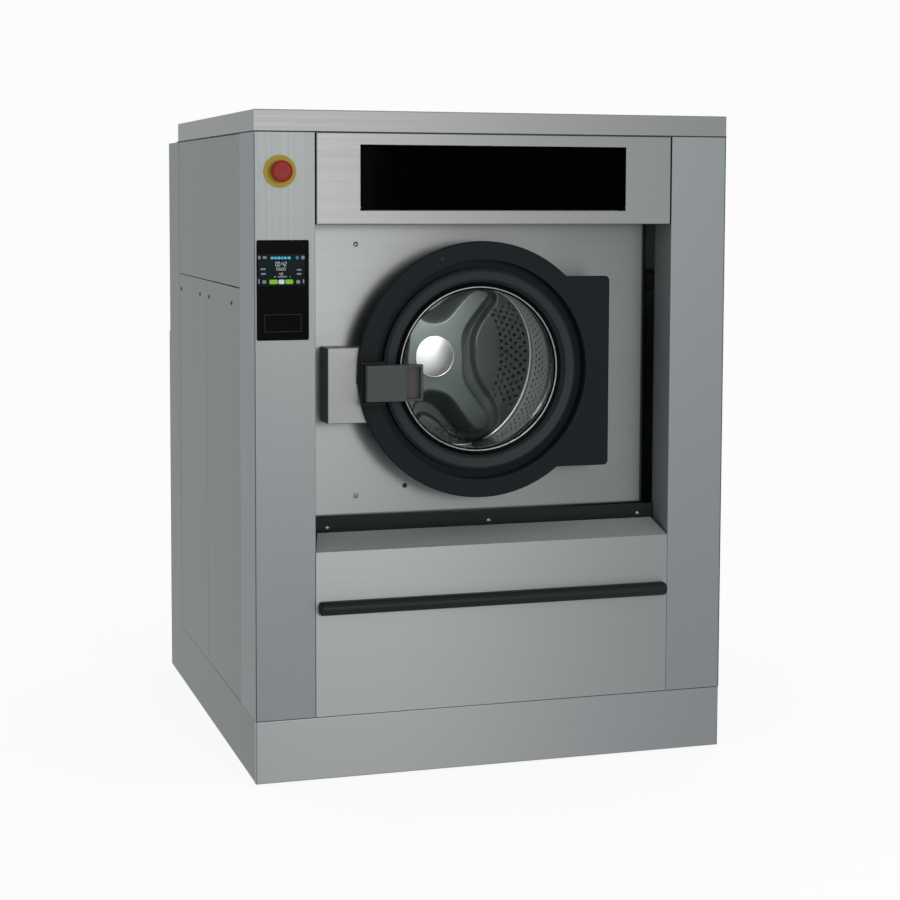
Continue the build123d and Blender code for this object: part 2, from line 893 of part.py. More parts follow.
# Touch panel: bezel and screen
with BuildPart() as touch_bezel:
    with BuildSketch(Plane.XZ.offset(-deep(0))):
        with Locations(((bezel_left + bezel_right) / 2, (bezel_low + bezel_high) / 2)):
            RectangleRounded(bezel_right - bezel_left, bezel_high - bezel_low, bezel_corner)
    extrude(amount=bezel_thick)
    fillet(touch_bezel.faces().sort_by(Axis.Y)[0].edges(), sheet)
    screen_window_x = (screen_left - soft_gap, screen_right + soft_gap)
    screen_window_z = (screen_low - soft_gap, screen_high + soft_gap)
    block(screen_window_x, deep_span(-bezel_thick - overrun, overrun), screen_window_z, mode=Mode.SUBTRACT)
write(touch_bezel.part, "touch_bezel")

with BuildPart() as touch_screen:
    block((screen_left, screen_right), deep_span(-screen_proud, 0), (screen_low, screen_high))
    board_x = (screen_left + 2 * bezel_cut_margin, screen_right - bezel_cut_margin)
    board_z = (screen_low + bezel_cut_margin, screen_high - bezel_cut_margin)
    block(board_x, deep_span(0, screen_rear), board_z)
write(touch_screen.part, "touch_screen")

# Emergency stop: yellow disc, body with its contact block, plunger and mushroom head
with BuildPart() as estop_disc:
    round_y(estop_x, estop_height, estop_disc_radius, (-estop_disc_thick, 0))
    disc_bore = (-estop_disc_thick - overrun, overrun)
    round_y(estop_x, estop_height, estop_hole_radius, disc_bore, mode=Mode.SUBTRACT)
write(estop_disc.part, "estop_disc")

with BuildPart() as estop_body:
    round_y(estop_x, estop_height, estop_collar_radius, (-estop_collar_front, -estop_disc_thick))
    round_y(estop_x, estop_height, estop_barrel_radius, (-estop_disc_thick, estop_block_front))
    estop_block_x = about(estop_x, estop_block_half)
    estop_block_z = about(estop_height, estop_block_half)
    block(estop_block_x, deep_span(estop_block_front, estop_block_rear), estop_block_z)
    bore = estop_plunger_radius + estop_fit
    bore_depths = (-estop_collar_front - overrun, estop_plunger_rear + 2 * overrun)
    round_y(estop_x, estop_height, bore, bore_depths, mode=Mode.SUBTRACT)
write(estop_body.part, "estop_body")

with BuildPart() as estop_plunger:
    round_y(estop_x, estop_height, estop_plunger_radius, (-estop_shoulder_front, estop_plunger_rear))
    round_y(estop_x, estop_height, estop_tip_radius, (-estop_tip_front, -estop_shoulder_front))
write(estop_plunger.part, "estop_plunger")

with BuildPart() as estop_head:
    round_y(estop_x, estop_height, estop_head_radius, (-estop_reach, -estop_head_back))
    fillet(estop_head.faces().sort_by(Axis.Y)[0].edges(), estop_head_skirt)
    socket = estop_tip_radius + estop_fit
    socket_depths = (-estop_tip_front - estop_fit, -estop_head_back + overrun)
    round_y(estop_x, estop_height, socket, socket_depths, mode=Mode.SUBTRACT)
    counterbore = estop_plunger_radius + 4 * estop_fit
    counterbore_depths = (-estop_shoulder_front - estop_fit, -estop_head_back + overrun)
    round_y(estop_x, estop_height, counterbore, counterbore_depths, mode=Mode.SUBTRACT)
write(estop_head.part, "estop_head")

# Dispenser: four-bay hopper and the glass flap
with BuildPart() as dispenser_hopper:
    hopper_x = about(flap_x, hopper_width / 2)
    block(hopper_x, deep_span(hopper_front, hopper_rear), (hopper_low, hopper_high))
    bay_wide = (hopper_width - (hopper_bays + 1) * hopper_wall) / hopper_bays
    for bay in range(hopper_bays):
        bay_left = hopper_x[0] + hopper_wall + bay * (bay_wide + hopper_wall)
        bay_depths = deep_span(hopper_front + hopper_wall, hopper_rear - hopper_wall)
        bay_z = (hopper_low + hopper_wall, hopper_high + overrun)
        block((bay_left, bay_left + bay_wide), bay_depths, bay_z, mode=Mode.SUBTRACT)
    pour_depths = deep_span(hopper_front - overrun, hopper_front + hopper_wall)
    pour_z = (hopper_pour_height, hopper_high + overrun)
    block((hopper_x[0] - overrun, hopper_x[1] + overrun), pour_depths, pour_z, mode=Mode.SUBTRACT)
    block(hopper_x, deep_span(sheet, hopper_rail_rear), (hopper_rail_low, hopper_rail_high))
    block(hopper_x, deep_span(hopper_front, hopper_rail_rear), (hopper_rail_high, hopper_low))
    round_z(inlet_x, inlet_depth, spout_radius, (spout_low, hopper_low))
    spout_bore_z = (spout_low - overrun, hopper_low + hopper_wall + overrun)
    round_z(inlet_x, inlet_depth, spout_bore, spout_bore_z, mode=Mode.SUBTRACT)
write(dispenser_hopper.part, "dispenser_hopper")

with BuildPart() as dispenser_flap:
    add(
        rounded(
            (flap_x_span, deep_span(-flap_proud, flap_thick - flap_proud), (flap_low, flap_high)),
            1,
            False,
            flap_edge,
        )
    )
    for edge_x, side in ((flap_x_span[0], 1), (flap_x_span[1], -1)):
        with BuildSketch(Plane.YZ.offset(edge_x - side * overrun)):
            with Locations((deep(flap_axis_depth), flap_axis_height)):
                Circle(flap_pin_radius + estop_fit)
        extrude(amount=side * (overrun + flap_pin_reach), mode=Mode.SUBTRACT)
    notch_x = (flap_x_span[1] - flap_notch_wide, flap_x_span[1] + overrun)
    notch_depths = deep_span(-flap_proud - overrun, flap_thick + overrun)
    block(notch_x, notch_depths, (flap_notch_low, flap_notch_high), mode=Mode.SUBTRACT)
write(dispenser_flap.part, "dispenser_flap")

# Springs: one unbroken coil at each corner of the cradle
spring_low = base_top + seat_thick + spring_wire + soft_gap
spring_high = beam_low - seat_thick - spring_wire - soft_gap
spring_pitch = (spring_high - spring_low) / spring_turns
print("spring gap between turns", round(spring_pitch - 2 * spring_wire, 2))
with BuildPart() as springs:
    for side in (-1, 1):
        for seat_depth in (spring_front_depth, spring_rear_depth):
            spring_foot = (tub_x + side * spring_offset, deep(seat_depth), spring_low)
            with BuildLine() as coil:
                Helix(spring_pitch, spring_high - spring_low, spring_mean_radius, center=spring_foot)
            with BuildSketch(Plane(origin=coil.line @ 0, z_dir=coil.line % 0)):
                Circle(spring_wire)
            sweep(path=coil.line, is_frenet=True)
write(springs.part, "springs")

# Damper cylinders on the base and their rods on the cradle
with BuildPart() as damper_cylinders:
    for side in (-1, 1):
        for damper_depth in (damper_front_depth, damper_rear_depth):
            x = tub_x + side * spring_offset
            round_z(x, damper_depth, damper_radius, (base_top, damper_top))
            bore_z = (base_top + damper_floor, damper_top + overrun)
            round_z(x, damper_depth, damper_rod_radius + running_gap, bore_z, mode=Mode.SUBTRACT)
write(damper_cylinders.part, "damper_cylinders")

with BuildPart() as damper_rods:
    for side in (-1, 1):
        for damper_depth in (damper_front_depth, damper_rear_depth):
            x = tub_x + side * spring_offset
            round_z(x, damper_depth, damper_rod_radius, (base_top + damper_rod_low, beam_low))
write(damper_rods.part, "damper_rods")

# Drain: valve body on the base, its outlet through the back and the hose up to the sump
with BuildPart() as drain_valve:
    valve_x = about(tub_x, drain_body_half)
    body_depths = deep_span(sump_depth - drain_body_half, sump_depth + drain_body_half)
    block(valve_x, body_depths, (drain_body_low, drain_body_high))
    round_z(tub_x, sump_depth, sump_radius, (drain_body_high, drain_neck_high))
    pipe_depths = (sump_depth + drain_body_half, cabinet_depth + drain_collar_thick)
    round_y(tub_x, drain_height, drain_pipe_radius, pipe_depths)
    round_y(tub_x, drain_height, drain_collar_radius, (cabinet_depth, cabinet_depth + drain_collar_thick))
    spigot_depths = (cabinet_depth + drain_collar_thick, cabinet_depth + drain_reach)
    round_y(tub_x, drain_height, sump_radius, spigot_depths)
    flange_depths = (cabinet_depth - sheet - seam - drain_flange_thick, cabinet_depth - sheet - seam)
    round_y(tub_x, drain_height, drain_flange_radius, flange_depths)
    outlet_bore = (sump_depth, cabinet_depth + drain_reach + overrun)
    round_y(tub_x, drain_height, drain_bore, outlet_bore, mode=Mode.SUBTRACT)
    round_z(tub_x, sump_depth, drain_bore, (drain_height, drain_neck_high + overrun), mode=Mode.SUBTRACT)
    foot_front = front_cross_depth + cross_wide / 2 - drain_body_half
    foot_depths = deep_span(foot_front, sump_depth + drain_body_half)
    block(valve_x, foot_depths, (base_top, base_top + seat_thick))
    block(about(tub_x, seat_thick), body_depths, (base_top + seat_thick, drain_body_low))
write(drain_valve.part, "drain_valve")

hose_low = drain_body_high
hose_high = sump_low + (tub_height - tub_radius - sump_low) / 2
with BuildPart() as drain_hose:
    round_z(tub_x, sump_depth, hose_radius, (hose_low, hose_high))
    hose_bore = (hose_low - overrun, hose_high + overrun)
    round_z(tub_x, sump_depth, sump_radius + soft_gap, hose_bore, mode=Mode.SUBTRACT)
write(drain_hose.part, "drain_hose")

# Water inlets and cable gland on the back
with BuildPart() as water_inlets:
    for inlet_x_place in inlet_xs:
        rear_end = upper_rear_depth + inlet_pipe_reach
        round_y(inlet_x_place, inlet_pipe_height, inlet_pipe_radius, (inlet_body_front, rear_end))
        body_depths = (inlet_body_front, upper_rear_depth - sheet - seam)
        round_y(inlet_x_place, inlet_pipe_height, inlet_body_radius, body_depths)
        nut_depths = (upper_rear_depth, upper_rear_depth + inlet_nut_thick)
        round_y(inlet_x_place, inlet_pipe_height, inlet_nut_radius, nut_depths)
        bore_depths = (inlet_body_front + 2 * overrun, rear_end + overrun)
        round_y(inlet_x_place, inlet_pipe_height, inlet_pipe_bore, bore_depths, mode=Mode.SUBTRACT)
write(water_inlets.part, "water_inlets")

with BuildPart() as cable_gland:
    gland_rear = upper_rear_depth + gland_reach
    round_y(gland_x, gland_height, gland_radius, (gland_front, gland_rear))
    with BuildSketch(Plane.XZ.offset(-deep(upper_rear_depth))):
        with Locations((gland_x, gland_height)):
            RegularPolygon(gland_nut_radius, 6)
    extrude(amount=-gland_nut_thick)
    with BuildSketch(Plane.XZ.offset(-deep(upper_rear_depth - sheet))):
        with Locations((gland_x, gland_height)):
            RegularPolygon(gland_nut_radius, 6)
    extrude(amount=gland_nut_thick)
    wire_bore = (gland_front - overrun, gland_rear + overrun)
    round_y(gland_x, gland_height, gland_bore, wire_bore, mode=Mode.SUBTRACT)
write(cable_gland.part, "cable_gland")

# Electrical box on the left waist rail
with BuildPart() as electrical_box:
    ebox_spans = ((ebox_left, ebox_right), deep_span(ebox_front, ebox_rear), (ebox_low, ebox_high))
    add(pan(*ebox_spans, "-X", bend=ebox_edge))
write(electrical_box.part, "electrical_box")

# Door panel: the sheet in the recess that moves with the tub
mouth_cut = (panel_front_depth - overrun, tub_front_depth + 2 * tub_plate)
panel_depths = deep_span(panel_front_depth, panel_front_depth + lip_depth)
with BuildPart() as door_panel:
    add(pan((-panel_left, panel_right), panel_depths, (panel_low, panel_high), "+Y", bend=panel_roll))
    round_y(tub_x, tub_height, mouth_radius, mouth_cut, mode=Mode.SUBTRACT)
write(door_panel.part, "door_panel")

with BuildPart() as panel_screws:
    screw_y(panel_screw_x, panel_screw_low, panel_front_depth)
    screw_y(panel_screw_x, panel_screw_high, panel_front_depth)
    screw_y(plug_screw_x, plug_screw_height, panel_front_depth)
    fillet(panel_screws.edges().filter_by(GeomType.CIRCLE), screw_dome * 0.4)
write(panel_screws.part, "panel_screws")

# Door carrier: the thick plate behind the sheet that holds the hinges and the lock
carrier_front = panel_front_depth + sheet + soft_gap
with BuildPart() as door_carrier:
    carrier_x = about(tub_x, carrier_half_width)
    carrier_depths = deep_span(carrier_front, tub_front_depth)
    block(carrier_x, carrier_depths, about(tub_height, carrier_half_height))
    round_y(tub_x, tub_height, mouth_radius, mouth_cut, mode=Mode.SUBTRACT)
write(door_carrier.part, "door_carrier")

# Tub: front plate, barrel, inlet cup and sump outlet in one welded piece, and its bolted back
tub_rear_depth = tub_front_depth + tub_length - tub_plate
with BuildPart() as tub_shell:
    round_y(tub_x, tub_height, tub_radius, (tub_front_depth, tub_rear_depth))
    cup_bottom = tub_height + sqrt(tub_radius**2 - (inlet_x + inlet_radius - tub_x) ** 2) - tub_plate
    round_z(inlet_x, inlet_depth, inlet_radius + tub_wall, (cup_bottom - inlet_radius, inlet_top))
    round_z(tub_x, sump_depth, sump_radius, (sump_low, tub_height - tub_radius + tub_plate))
    inner_depths = (tub_front_depth + tub_plate, tub_rear_depth + overrun)
    round_y(tub_x, tub_height, tub_radius - tub_wall, inner_depths, mode=Mode.SUBTRACT)
    round_y(tub_x, tub_height, mouth_radius, mouth_cut, mode=Mode.SUBTRACT)
    cup_bore = (tub_height, inlet_top + overrun)
    round_z(inlet_x, inlet_depth, inlet_radius, cup_bore, mode=Mode.SUBTRACT)
    sump_bore = (sump_low - overrun, tub_height)
    round_z(tub_x, sump_depth, drain_bore, sump_bore, mode=Mode.SUBTRACT)
write(tub_shell.part, "tub_shell")

with BuildPart() as tub_back:
    round_y(tub_x, tub_height, tub_radius, (tub_rear_depth, tub_rear_depth + tub_plate))
    back_bore = (tub_rear_depth - overrun, tub_rear_depth + tub_plate + overrun)
    round_y(tub_x, tub_height, bearing_outer, back_bore, mode=Mode.SUBTRACT)
write(tub_back.part, "tub_back")

# Door gasket round the mouth
gasket_outer = mouth_radius - soft_gap
with BuildPart() as door_gasket:
    turned(
        (
            (gasket_inner, gasket_front),
            (gasket_flange, gasket_front),
            (gasket_flange, panel_front_depth - soft_gap),
            (gasket_outer, panel_front_depth - soft_gap),
            (gasket_outer, tub_front_depth + tub_plate),
            (gasket_outer - gasket_wall, tub_front_depth + tub_plate),
            (gasket_outer - gasket_wall, gasket_front + 2 * gasket_lip),
            (gasket_inner, gasket_front + gasket_lip),
        ),
        tub_x,
        tub_height,
    )
write(door_gasket.part, "door_gasket")

# Cradle: two beams, two saddles under the tub, the motor plate and the upper spring seats
beam_top = beam_low + beam_high
with BuildPart() as tub_cradle:
    for side in (-1, 1):
        beam_x = about(tub_x + side * spring_offset, beam_wide / 2)
        beam_depths = deep_span(beam_front_depth, beam_rear_depth)
        add(tube(beam_x, beam_depths, (beam_low, beam_top), "Y", base_wall))
    for saddle_depth in (saddle_front_depth, saddle_rear_depth):
        saddle_half = spring_offset + beam_wide / 2
        with BuildSketch(Plane.XZ.offset(-deep(saddle_depth))):
            with BuildLine():
                Polyline(
                    (tub_x - saddle_half, beam_top),
                    (tub_x + saddle_half, beam_top),
                    (tub_x + saddle_half, beam_top + saddle_shoulder),
                    (tub_x + saddle_reach, saddle_top),
                    (tub_x - saddle_reach, saddle_top),
                    (tub_x - saddle_half, beam_top + saddle_shoulder),
                    close=True,
                )
            make_face()
            with Locations((tub_x, tub_height)):
                Circle(tub_radius + soft_gap, mode=Mode.SUBTRACT)
        extrude(amount=-saddle_thick)
    plate_half = spring_offset + beam_wide / 2
    plate_z = (beam_top, beam_top + motor_plate_thick)
    block(about(tub_x, plate_half), deep_span(motor_plate_front, motor_plate_rear), plate_z)
    for side in (-1, 1):
        for seat_depth in (spring_front_depth, spring_rear_depth):
            round_z(tub_x + side * spring_offset, seat_depth, seat_radius, (beam_low - seat_thick, beam_low))
write(tub_cradle.part, "tub_cradle")

# Bearing housing with ribs, and the two bearings
housing_front = tub_rear_depth + tub_plate
with BuildPart() as bearing_housing:
    round_y(tub_x, tub_height, housing_radius, (housing_front, housing_rear))
    round_y(tub_x, tub_height, housing_flange_radius, (housing_front, housing_front + housing_flange))
    with BuildSketch(Plane.XZ.offset(-deep(housing_front))):
        with Locations((tub_x, tub_height)):
            with PolarLocations(housing_radius, housing_ribs):
                Rectangle(2 * (housing_flange_radius - housing_radius), housing_rib_thick)
    extrude(amount=housing_front - housing_rear + 2 * housing_flange)
    bearing_bore = (housing_front - overrun, housing_rear + overrun)
    round_y(tub_x, tub_height, bearing_outer, bearing_bore, mode=Mode.SUBTRACT)
write(bearing_housing.part, "bearing_housing")

with BuildPart() as bearings:
    for start in (housing_front + bearing_inset, housing_rear - bearing_inset - bearing_wide):
        round_y(tub_x, tub_height, bearing_outer - running_gap, (start, start + bearing_wide))
        inner_race = (start - bearing_inset, start + bearing_wide + bearing_inset)
        round_y(tub_x, tub_height, shaft_radius + running_gap, inner_race, mode=Mode.SUBTRACT)
write(bearings.part, "bearings")

# Motor: finned housing with a foot up to the plate, and the rotor shaft with its pulley
with BuildPart() as motor_housing:
    round_y(motor_x, motor_height, motor_radius, (motor_front, motor_rear))
    fillet(motor_housing.faces().sort_by(Axis.Y)[0].edges(), motor_fin_high)
    fin_start = motor_front + 2 * motor_fin_high
    fin_end = motor_rear - 2 * motor_fin_high
    with BuildSketch(Plane.XZ.offset(-deep(fin_start))):
        with Locations((motor_x, motor_height)):
            with PolarLocations(motor_radius, motor_fins):
                Rectangle(2 * motor_fin_high, motor_fin_thick)
    extrude(amount=fin_start - fin_end)
    foot_depths = deep_span(motor_plate_front + lip_depth, motor_plate_rear - lip_depth)
    block(about(motor_x, motor_foot_half), foot_depths, (motor_height, beam_top))
    bore_depths = (motor_rear - motor_bore_depth, motor_rear + overrun)
    round_y(motor_x, motor_height, motor_shaft_radius + running_gap, bore_depths, mode=Mode.SUBTRACT)
write(motor_housing.part, "motor_housing")

pulley_rear = pulley_front + pulley_wide
with BuildPart() as motor_pulley:
    shaft_depths = (motor_rear - motor_bore_depth + overrun, pulley_rear + overrun)
    round_y(motor_x, motor_height, motor_shaft_radius, shaft_depths)
    round_y(motor_x, motor_height, motor_pulley_radius, (pulley_front, pulley_rear))
write(motor_pulley.part, "motor_pulley")

# Drum pulley: rim, web with lightening holes and hub
with BuildPart() as drum_pulley:
    round_y(tub_x, tub_height, pulley_radius, (pulley_front, pulley_rear))
    web_front = pulley_front + (pulley_wide - pulley_web) / 2
    dish_radius = pulley_radius - pulley_rim
    for dish in ((pulley_front - overrun, web_front), (web_front + pulley_web, pulley_rear + overrun)):
        round_y(tub_x, tub_height, dish_radius, dish, mode=Mode.SUBTRACT)
    with BuildSketch(Plane.XZ.offset(-deep(web_front - overrun))):
        with Locations((tub_x, tub_height)):
            with PolarLocations(pulley_hole_circle, pulley_holes):
                Circle(pulley_hole_radius)
    extrude(amount=-pulley_web - 2 * overrun, mode=Mode.SUBTRACT)
    round_y(tub_x, tub_height, pulley_hub_radius, (pulley_front, pulley_rear))
    hub_bore = (pulley_front - overrun, pulley_rear + overrun)
    round_y(tub_x, tub_height, shaft_radius + running_gap, hub_bore, mode=Mode.SUBTRACT)
write(drum_pulley.part, "drum_pulley")


# Belt: one loop round both pulleys
def belt_outline(reach):
    """Two arcs and two tangents round the pulleys, at a distance from their rims."""
    big, small = pulley_radius + reach, motor_pulley_radius + reach
    lean = atan2(motor_height - tub_height, motor_x - tub_x)
    wrap = acos((big - small) / motor_distance)
    points = []
    for centre_x, centre_z, radius in ((tub_x, tub_height, big), (motor_x, motor_height, small)):
        for angle in (lean - wrap, lean + wrap):
            points.append((centre_x + radius * cos(angle), centre_z + radius * sin(angle)))
    big_back = (tub_x - big * cos(lean), tub_height - big * sin(lean))
    small_back = (motor_x + small * cos(lean), motor_height + small * sin(lean))
    with BuildLine() as loop:
        ThreePointArc(points[0], big_back, points[1])
        Line(points[1], points[3])
        ThreePointArc(points[3], small_back, points[2])
        Line(points[2], points[0])
    return loop.line


belt_front = pulley_front + (pulley_wide - belt_wide) / 2
with BuildPart() as drive_belt:
    with BuildSketch(Plane.XZ.offset(-deep(belt_front))):
        with BuildLine():
            add(belt_outline(belt_gap + belt_thick))
        make_face()
        with BuildLine():
            add(belt_outline(belt_gap))
        make_face(mode=Mode.SUBTRACT)
    extrude(amount=-belt_wide)
write(drive_belt.part, "drive_belt")

# Drum barrel with its front plate and rolled lip
with BuildPart() as drum_shell:
    turned(
        (
            (drum_mouth_radius, drum_front_depth),
            (drum_radius, drum_front_depth),
            (drum_radius, drum_rear_depth),
            (drum_radius - drum_wall, drum_rear_depth),
            (drum_radius - drum_wall, drum_front_depth + drum_wall),
            (drum_mouth_radius, drum_front_depth + drum_wall),
        ),
        tub_x,
        tub_height,
    )
    with BuildSketch(Plane(origin=(tub_x, front_y, tub_height), x_dir=(1, 0, 0), z_dir=(0, 0, 1))):
        with Locations((drum_mouth_radius, drum_front_depth + drum_wall / 2)):
            Circle(drum_lip_radius)
    revolve(axis=Axis((tub_x, front_y, tub_height), (0, 1, 0)))
write(drum_shell.part, "drum_shell")


# Drum back: a disc with a rim bead and a pressed three-armed star that stands forward of it
def star_outline(grow):
    """Arms that narrow outwards, with wide round corners between them."""
    hub_half, tip_half, tip = star_hub_half + grow, star_tip_half + grow, star_tip_radius + grow
    root = hub_half / sin(radians(180 / star_arms))
    points = []
    for arm in range(star_arms):
        angle = radians(180 + arm * 360 / star_arms)
        before = angle - radians(180 / star_arms)
        points.append((root * cos(before), root * sin(before)))
        for side in (-1, 1):
            reach = (
                tip * cos(angle) - side * tip_half * sin(angle),
                tip * sin(angle) + side * tip_half * cos(angle),
            )
            points.append(reach)
    return points


def star_face(depth, grow):
    face_plane = Plane(origin=(tub_x, deep(depth), tub_height), x_dir=(1, 0, 0), z_dir=(0, -1, 0))
    with BuildSketch(face_plane) as face:
        with BuildLine():
            Polyline(*star_outline(grow), close=True)
        make_face()
        nooks = sorted(face.vertices(), key=lambda corner: hypot(corner.X, corner.Y))[:star_arms]
        fillet(nooks, star_corner + grow)
        tips = sorted(face.vertices(), key=lambda corner: hypot(corner.X, corner.Y))[-2 * star_arms :]
        fillet(tips, star_tip_corner + grow / 2)
    return face.sketch


back_radius = drum_radius - drum_wall - drum_fit
with BuildPart() as star_hollow:
    hollow = [star_face(drum_back_depth + drum_wall, star_spread), star_face(star_depth + drum_wall, 0)]
    loft(sections=hollow, ruled=True)

with BuildPart() as drum_back:
    round_y(tub_x, tub_height, back_radius, (drum_back_depth, drum_back_depth + drum_wall))
    loft(sections=[star_face(drum_back_depth, star_spread), star_face(star_depth, 0)], ruled=True)
    add(star_hollow.part, mode=Mode.SUBTRACT)
    with BuildSketch(Plane(origin=(tub_x, front_y, tub_height), x_dir=(1, 0, 0), z_dir=(0, 0, 1))):
        with Locations((bead_radius, drum_back_depth)):
            Circle(bead_wire)
    revolve(axis=Axis((tub_x, front_y, tub_height), (0, 1, 0)))
    round_y(tub_x, tub_height, hub_cap_radius, (hub_cap_depth, star_depth + drum_wall))
write(drum_back.part, "drum_back")

# Three lifters along the barrel, in line with the star's arms
with BuildPart() as drum_lifters:
    seat = drum_radius - drum_wall - drum_fit
    for arm in range(star_arms):
        angle = 180 + arm * 360 / star_arms
        lifter_plane = Plane(
            origin=(tub_x, deep(lifter_front_depth), tub_height),
            x_dir=(cos(radians(angle)), 0, sin(radians(angle))),
            z_dir=(0, 1, 0),
        )
        with BuildSketch(lifter_plane) as section:
            with BuildLine():
                Polyline(
                    (lifter_crest_radius, -lifter_half_crest),
                    (seat + overrun, -lifter_half_base),
                    (seat + overrun, lifter_half_base),
                    (lifter_crest_radius, lifter_half_crest),
                    close=True,
                )
            make_face()
            crest = section.vertices().sort_by(Axis(lifter_plane.origin, lifter_plane.x_dir))[:2]
            fillet(crest, lifter_round)
            Circle(seat, mode=Mode.INTERSECT)
        extrude(amount=drum_back_depth - bead_wire - seam - lifter_front_depth)
write(drum_lifters.part, "drum_lifters")

# Spider: hub and arms behind the drum back, with the drum shaft
with BuildPart() as drum_spider:
    round_y(tub_x, tub_height, spider_hub_radius, (spider_hub_front, spider_hub_rear))
    arm_plane = Plane(origin=(tub_x, deep(spider_arm_rear), tub_height), x_dir=(1, 0, 0), z_dir=(0, -1, 0))
    with BuildSketch(arm_plane):
        with PolarLocations(back_radius / 2, star_arms, start_angle=180):
            Rectangle(back_radius, 2 * spider_arm_half)
        Circle(back_radius - soft_gap, mode=Mode.INTERSECT)
    extrude(amount=spider_arm_rear - spider_arm_front)
    round_y(tub_x, tub_height, shaft_radius, (spider_hub_rear, shaft_rear))
write(drum_spider.part, "drum_spider")

# Door frame: outer ring, hinge wing and hinge knuckles in one casting
frame_bore = inner_ring_radius + soft_gap
flange_rear = door_front_depth + door_flange
knuckle_reach = knuckle_half - soft_gap
with BuildPart() as door_frame:
    wing_plane = Plane.XZ.offset(-deep(door_front_depth))
    with BuildSketch(wing_plane) as wing:
        with Locations(((tub_x + wing_right) / 2, (wing_low + wing_high) / 2)):
            Rectangle(wing_right - tub_x, wing_high - wing_low)
        fillet(wing.vertices().sort_by(Axis.X)[-2:], wing_corner)
    extrude(amount=-door_flange)
    round_y(tub_x, tub_height, door_radius, (door_front_depth, flange_rear))
    front_rim = door_frame.faces().sort_by(Axis.Y)[0].edges()
    chamfer(front_rim, door_edge)
    round_y(tub_x, tub_height, door_body_radius, (flange_rear, door_back_depth))
    round_y(tub_x, tub_height, frame_bore, (-overrun, door_back_depth + overrun), mode=Mode.SUBTRACT)
    round_y(tub_x, tub_height, door_face_radius, (-overrun, door_groove_depth), mode=Mode.SUBTRACT)
    for offset_z in (-hinge_offset, hinge_offset):
        knuckle_z = about(tub_height + offset_z, knuckle_reach)
        knuckle_x = about(hinge_x, knuckle_radius)
        block(knuckle_x, deep_span(flange_rear, hinge_depth), knuckle_z)
        round_z(hinge_x, hinge_depth, knuckle_radius, knuckle_z)
        bore_z = (knuckle_z[0] - overrun, knuckle_z[1] + overrun)
        round_z(hinge_x, hinge_depth, hinge_pin_radius + running_gap, bore_z, mode=Mode.SUBTRACT)
write(door_frame.part, "door_frame")

# Door inner ring, bright trim ring and glass bowl
with BuildPart() as door_inner_ring:
    turned(
        (
            (inner_ring_radius, inner_ring_front + inner_ring_crown),
            (inner_ring_radius - inner_ring_crown, inner_ring_front),
            (inner_ring_step, inner_ring_front + inner_ring_crown / 2),
            (inner_ring_bore, inner_ring_seat),
            (inner_ring_bore, door_back_depth),
            (inner_ring_radius, door_back_depth),
        ),
        tub_x,
        tub_height,
    )
write(door_inner_ring.part, "door_inner_ring")

with BuildPart() as door_trim_ring:
    turned(
        (
            (trim_radius - trim_wire, inner_ring_seat),
            (trim_radius, inner_ring_seat - trim_wire),
            (trim_radius + trim_wire, inner_ring_seat),
            (inner_ring_bore - soft_gap, inner_ring_seat),
            (inner_ring_bore - soft_gap, glass_rim_depth - soft_gap),
            (trim_radius - trim_wire, glass_rim_depth - soft_gap),
        ),
        tub_x,
        tub_height,
    )
write(door_trim_ring.part, "door_trim_ring")

with BuildPart() as door_glass:
    glass_rim = inner_ring_bore - soft_gap
    turned(
        (
            (0, glass_end_depth),
            (glass_end_radius, glass_end_depth - glass_thick),
            (glass_bowl_radius, glass_bowl_depth),
            (glass_neck_radius + glass_thick, glass_rim_depth + glass_thick),
            (glass_rim, glass_rim_depth + glass_thick),
            (glass_rim, glass_rim_depth),
            (glass_neck_radius, glass_rim_depth),
            (glass_bowl_radius - glass_thick, glass_bowl_depth - glass_thick),
            (glass_end_radius - glass_thick, glass_end_depth - 2 * glass_thick),
            (0, glass_end_depth - glass_thick),
        ),
        tub_x,
        tub_height,
    )
write(door_glass.part, "door_glass")

# Door hinges: base plates with two ears and a fixed pin each
with BuildPart() as hinge_brackets:
    for offset_z in (-hinge_offset, hinge_offset):
        middle = tub_height + offset_z
        base_depths = deep_span(panel_front_depth - hinge_base_thick, panel_front_depth)
        block((hinge_base_left, hinge_base_right), base_depths, about(middle, hinge_base_half))
        for ear_side in (-1, 1):
            ear_ends = (knuckle_half, knuckle_half + ear_thick)
            ear_z = tuple(sorted(middle + ear_side * end for end in ear_ends))
            round_z(hinge_x, hinge_depth, knuckle_radius, ear_z)
            ear_x = (hinge_x - knuckle_radius, min(hinge_x + knuckle_radius, hinge_base_right))
            block(ear_x, deep_span(hinge_depth, panel_front_depth - hinge_base_thick), ear_z)
        round_z(hinge_x, hinge_depth, hinge_pin_radius, about(middle, knuckle_half))
write(hinge_brackets.part, "hinge_brackets")

# Handle bracket on the door, with its pivot pin, and the handle lever
ear_inner = (handle_low - bracket_ear_gap, handle_high + bracket_ear_gap)
with BuildPart() as handle_bracket:
    plate_depths = deep_span(door_front_depth - bracket_plate, door_front_depth)
    plate_z = (ear_inner[0] - bracket_ear, ear_inner[1] + bracket_ear)
    block((bracket_left, bracket_right), plate_depths, plate_z)
    for ear_z in ((ear_inner[0] - bracket_ear, ear_inner[0]), (ear_inner[1], ear_inner[1] + bracket_ear)):
        ear_depths = deep_span(pivot_depth - bracket_ear, door_front_depth - bracket_plate)
        block((bracket_left, bracket_ear_right), ear_depths, ear_z)
    round_z(pivot_x, pivot_depth, pivot_radius, ear_inner)
write(handle_bracket.part, "handle_bracket")

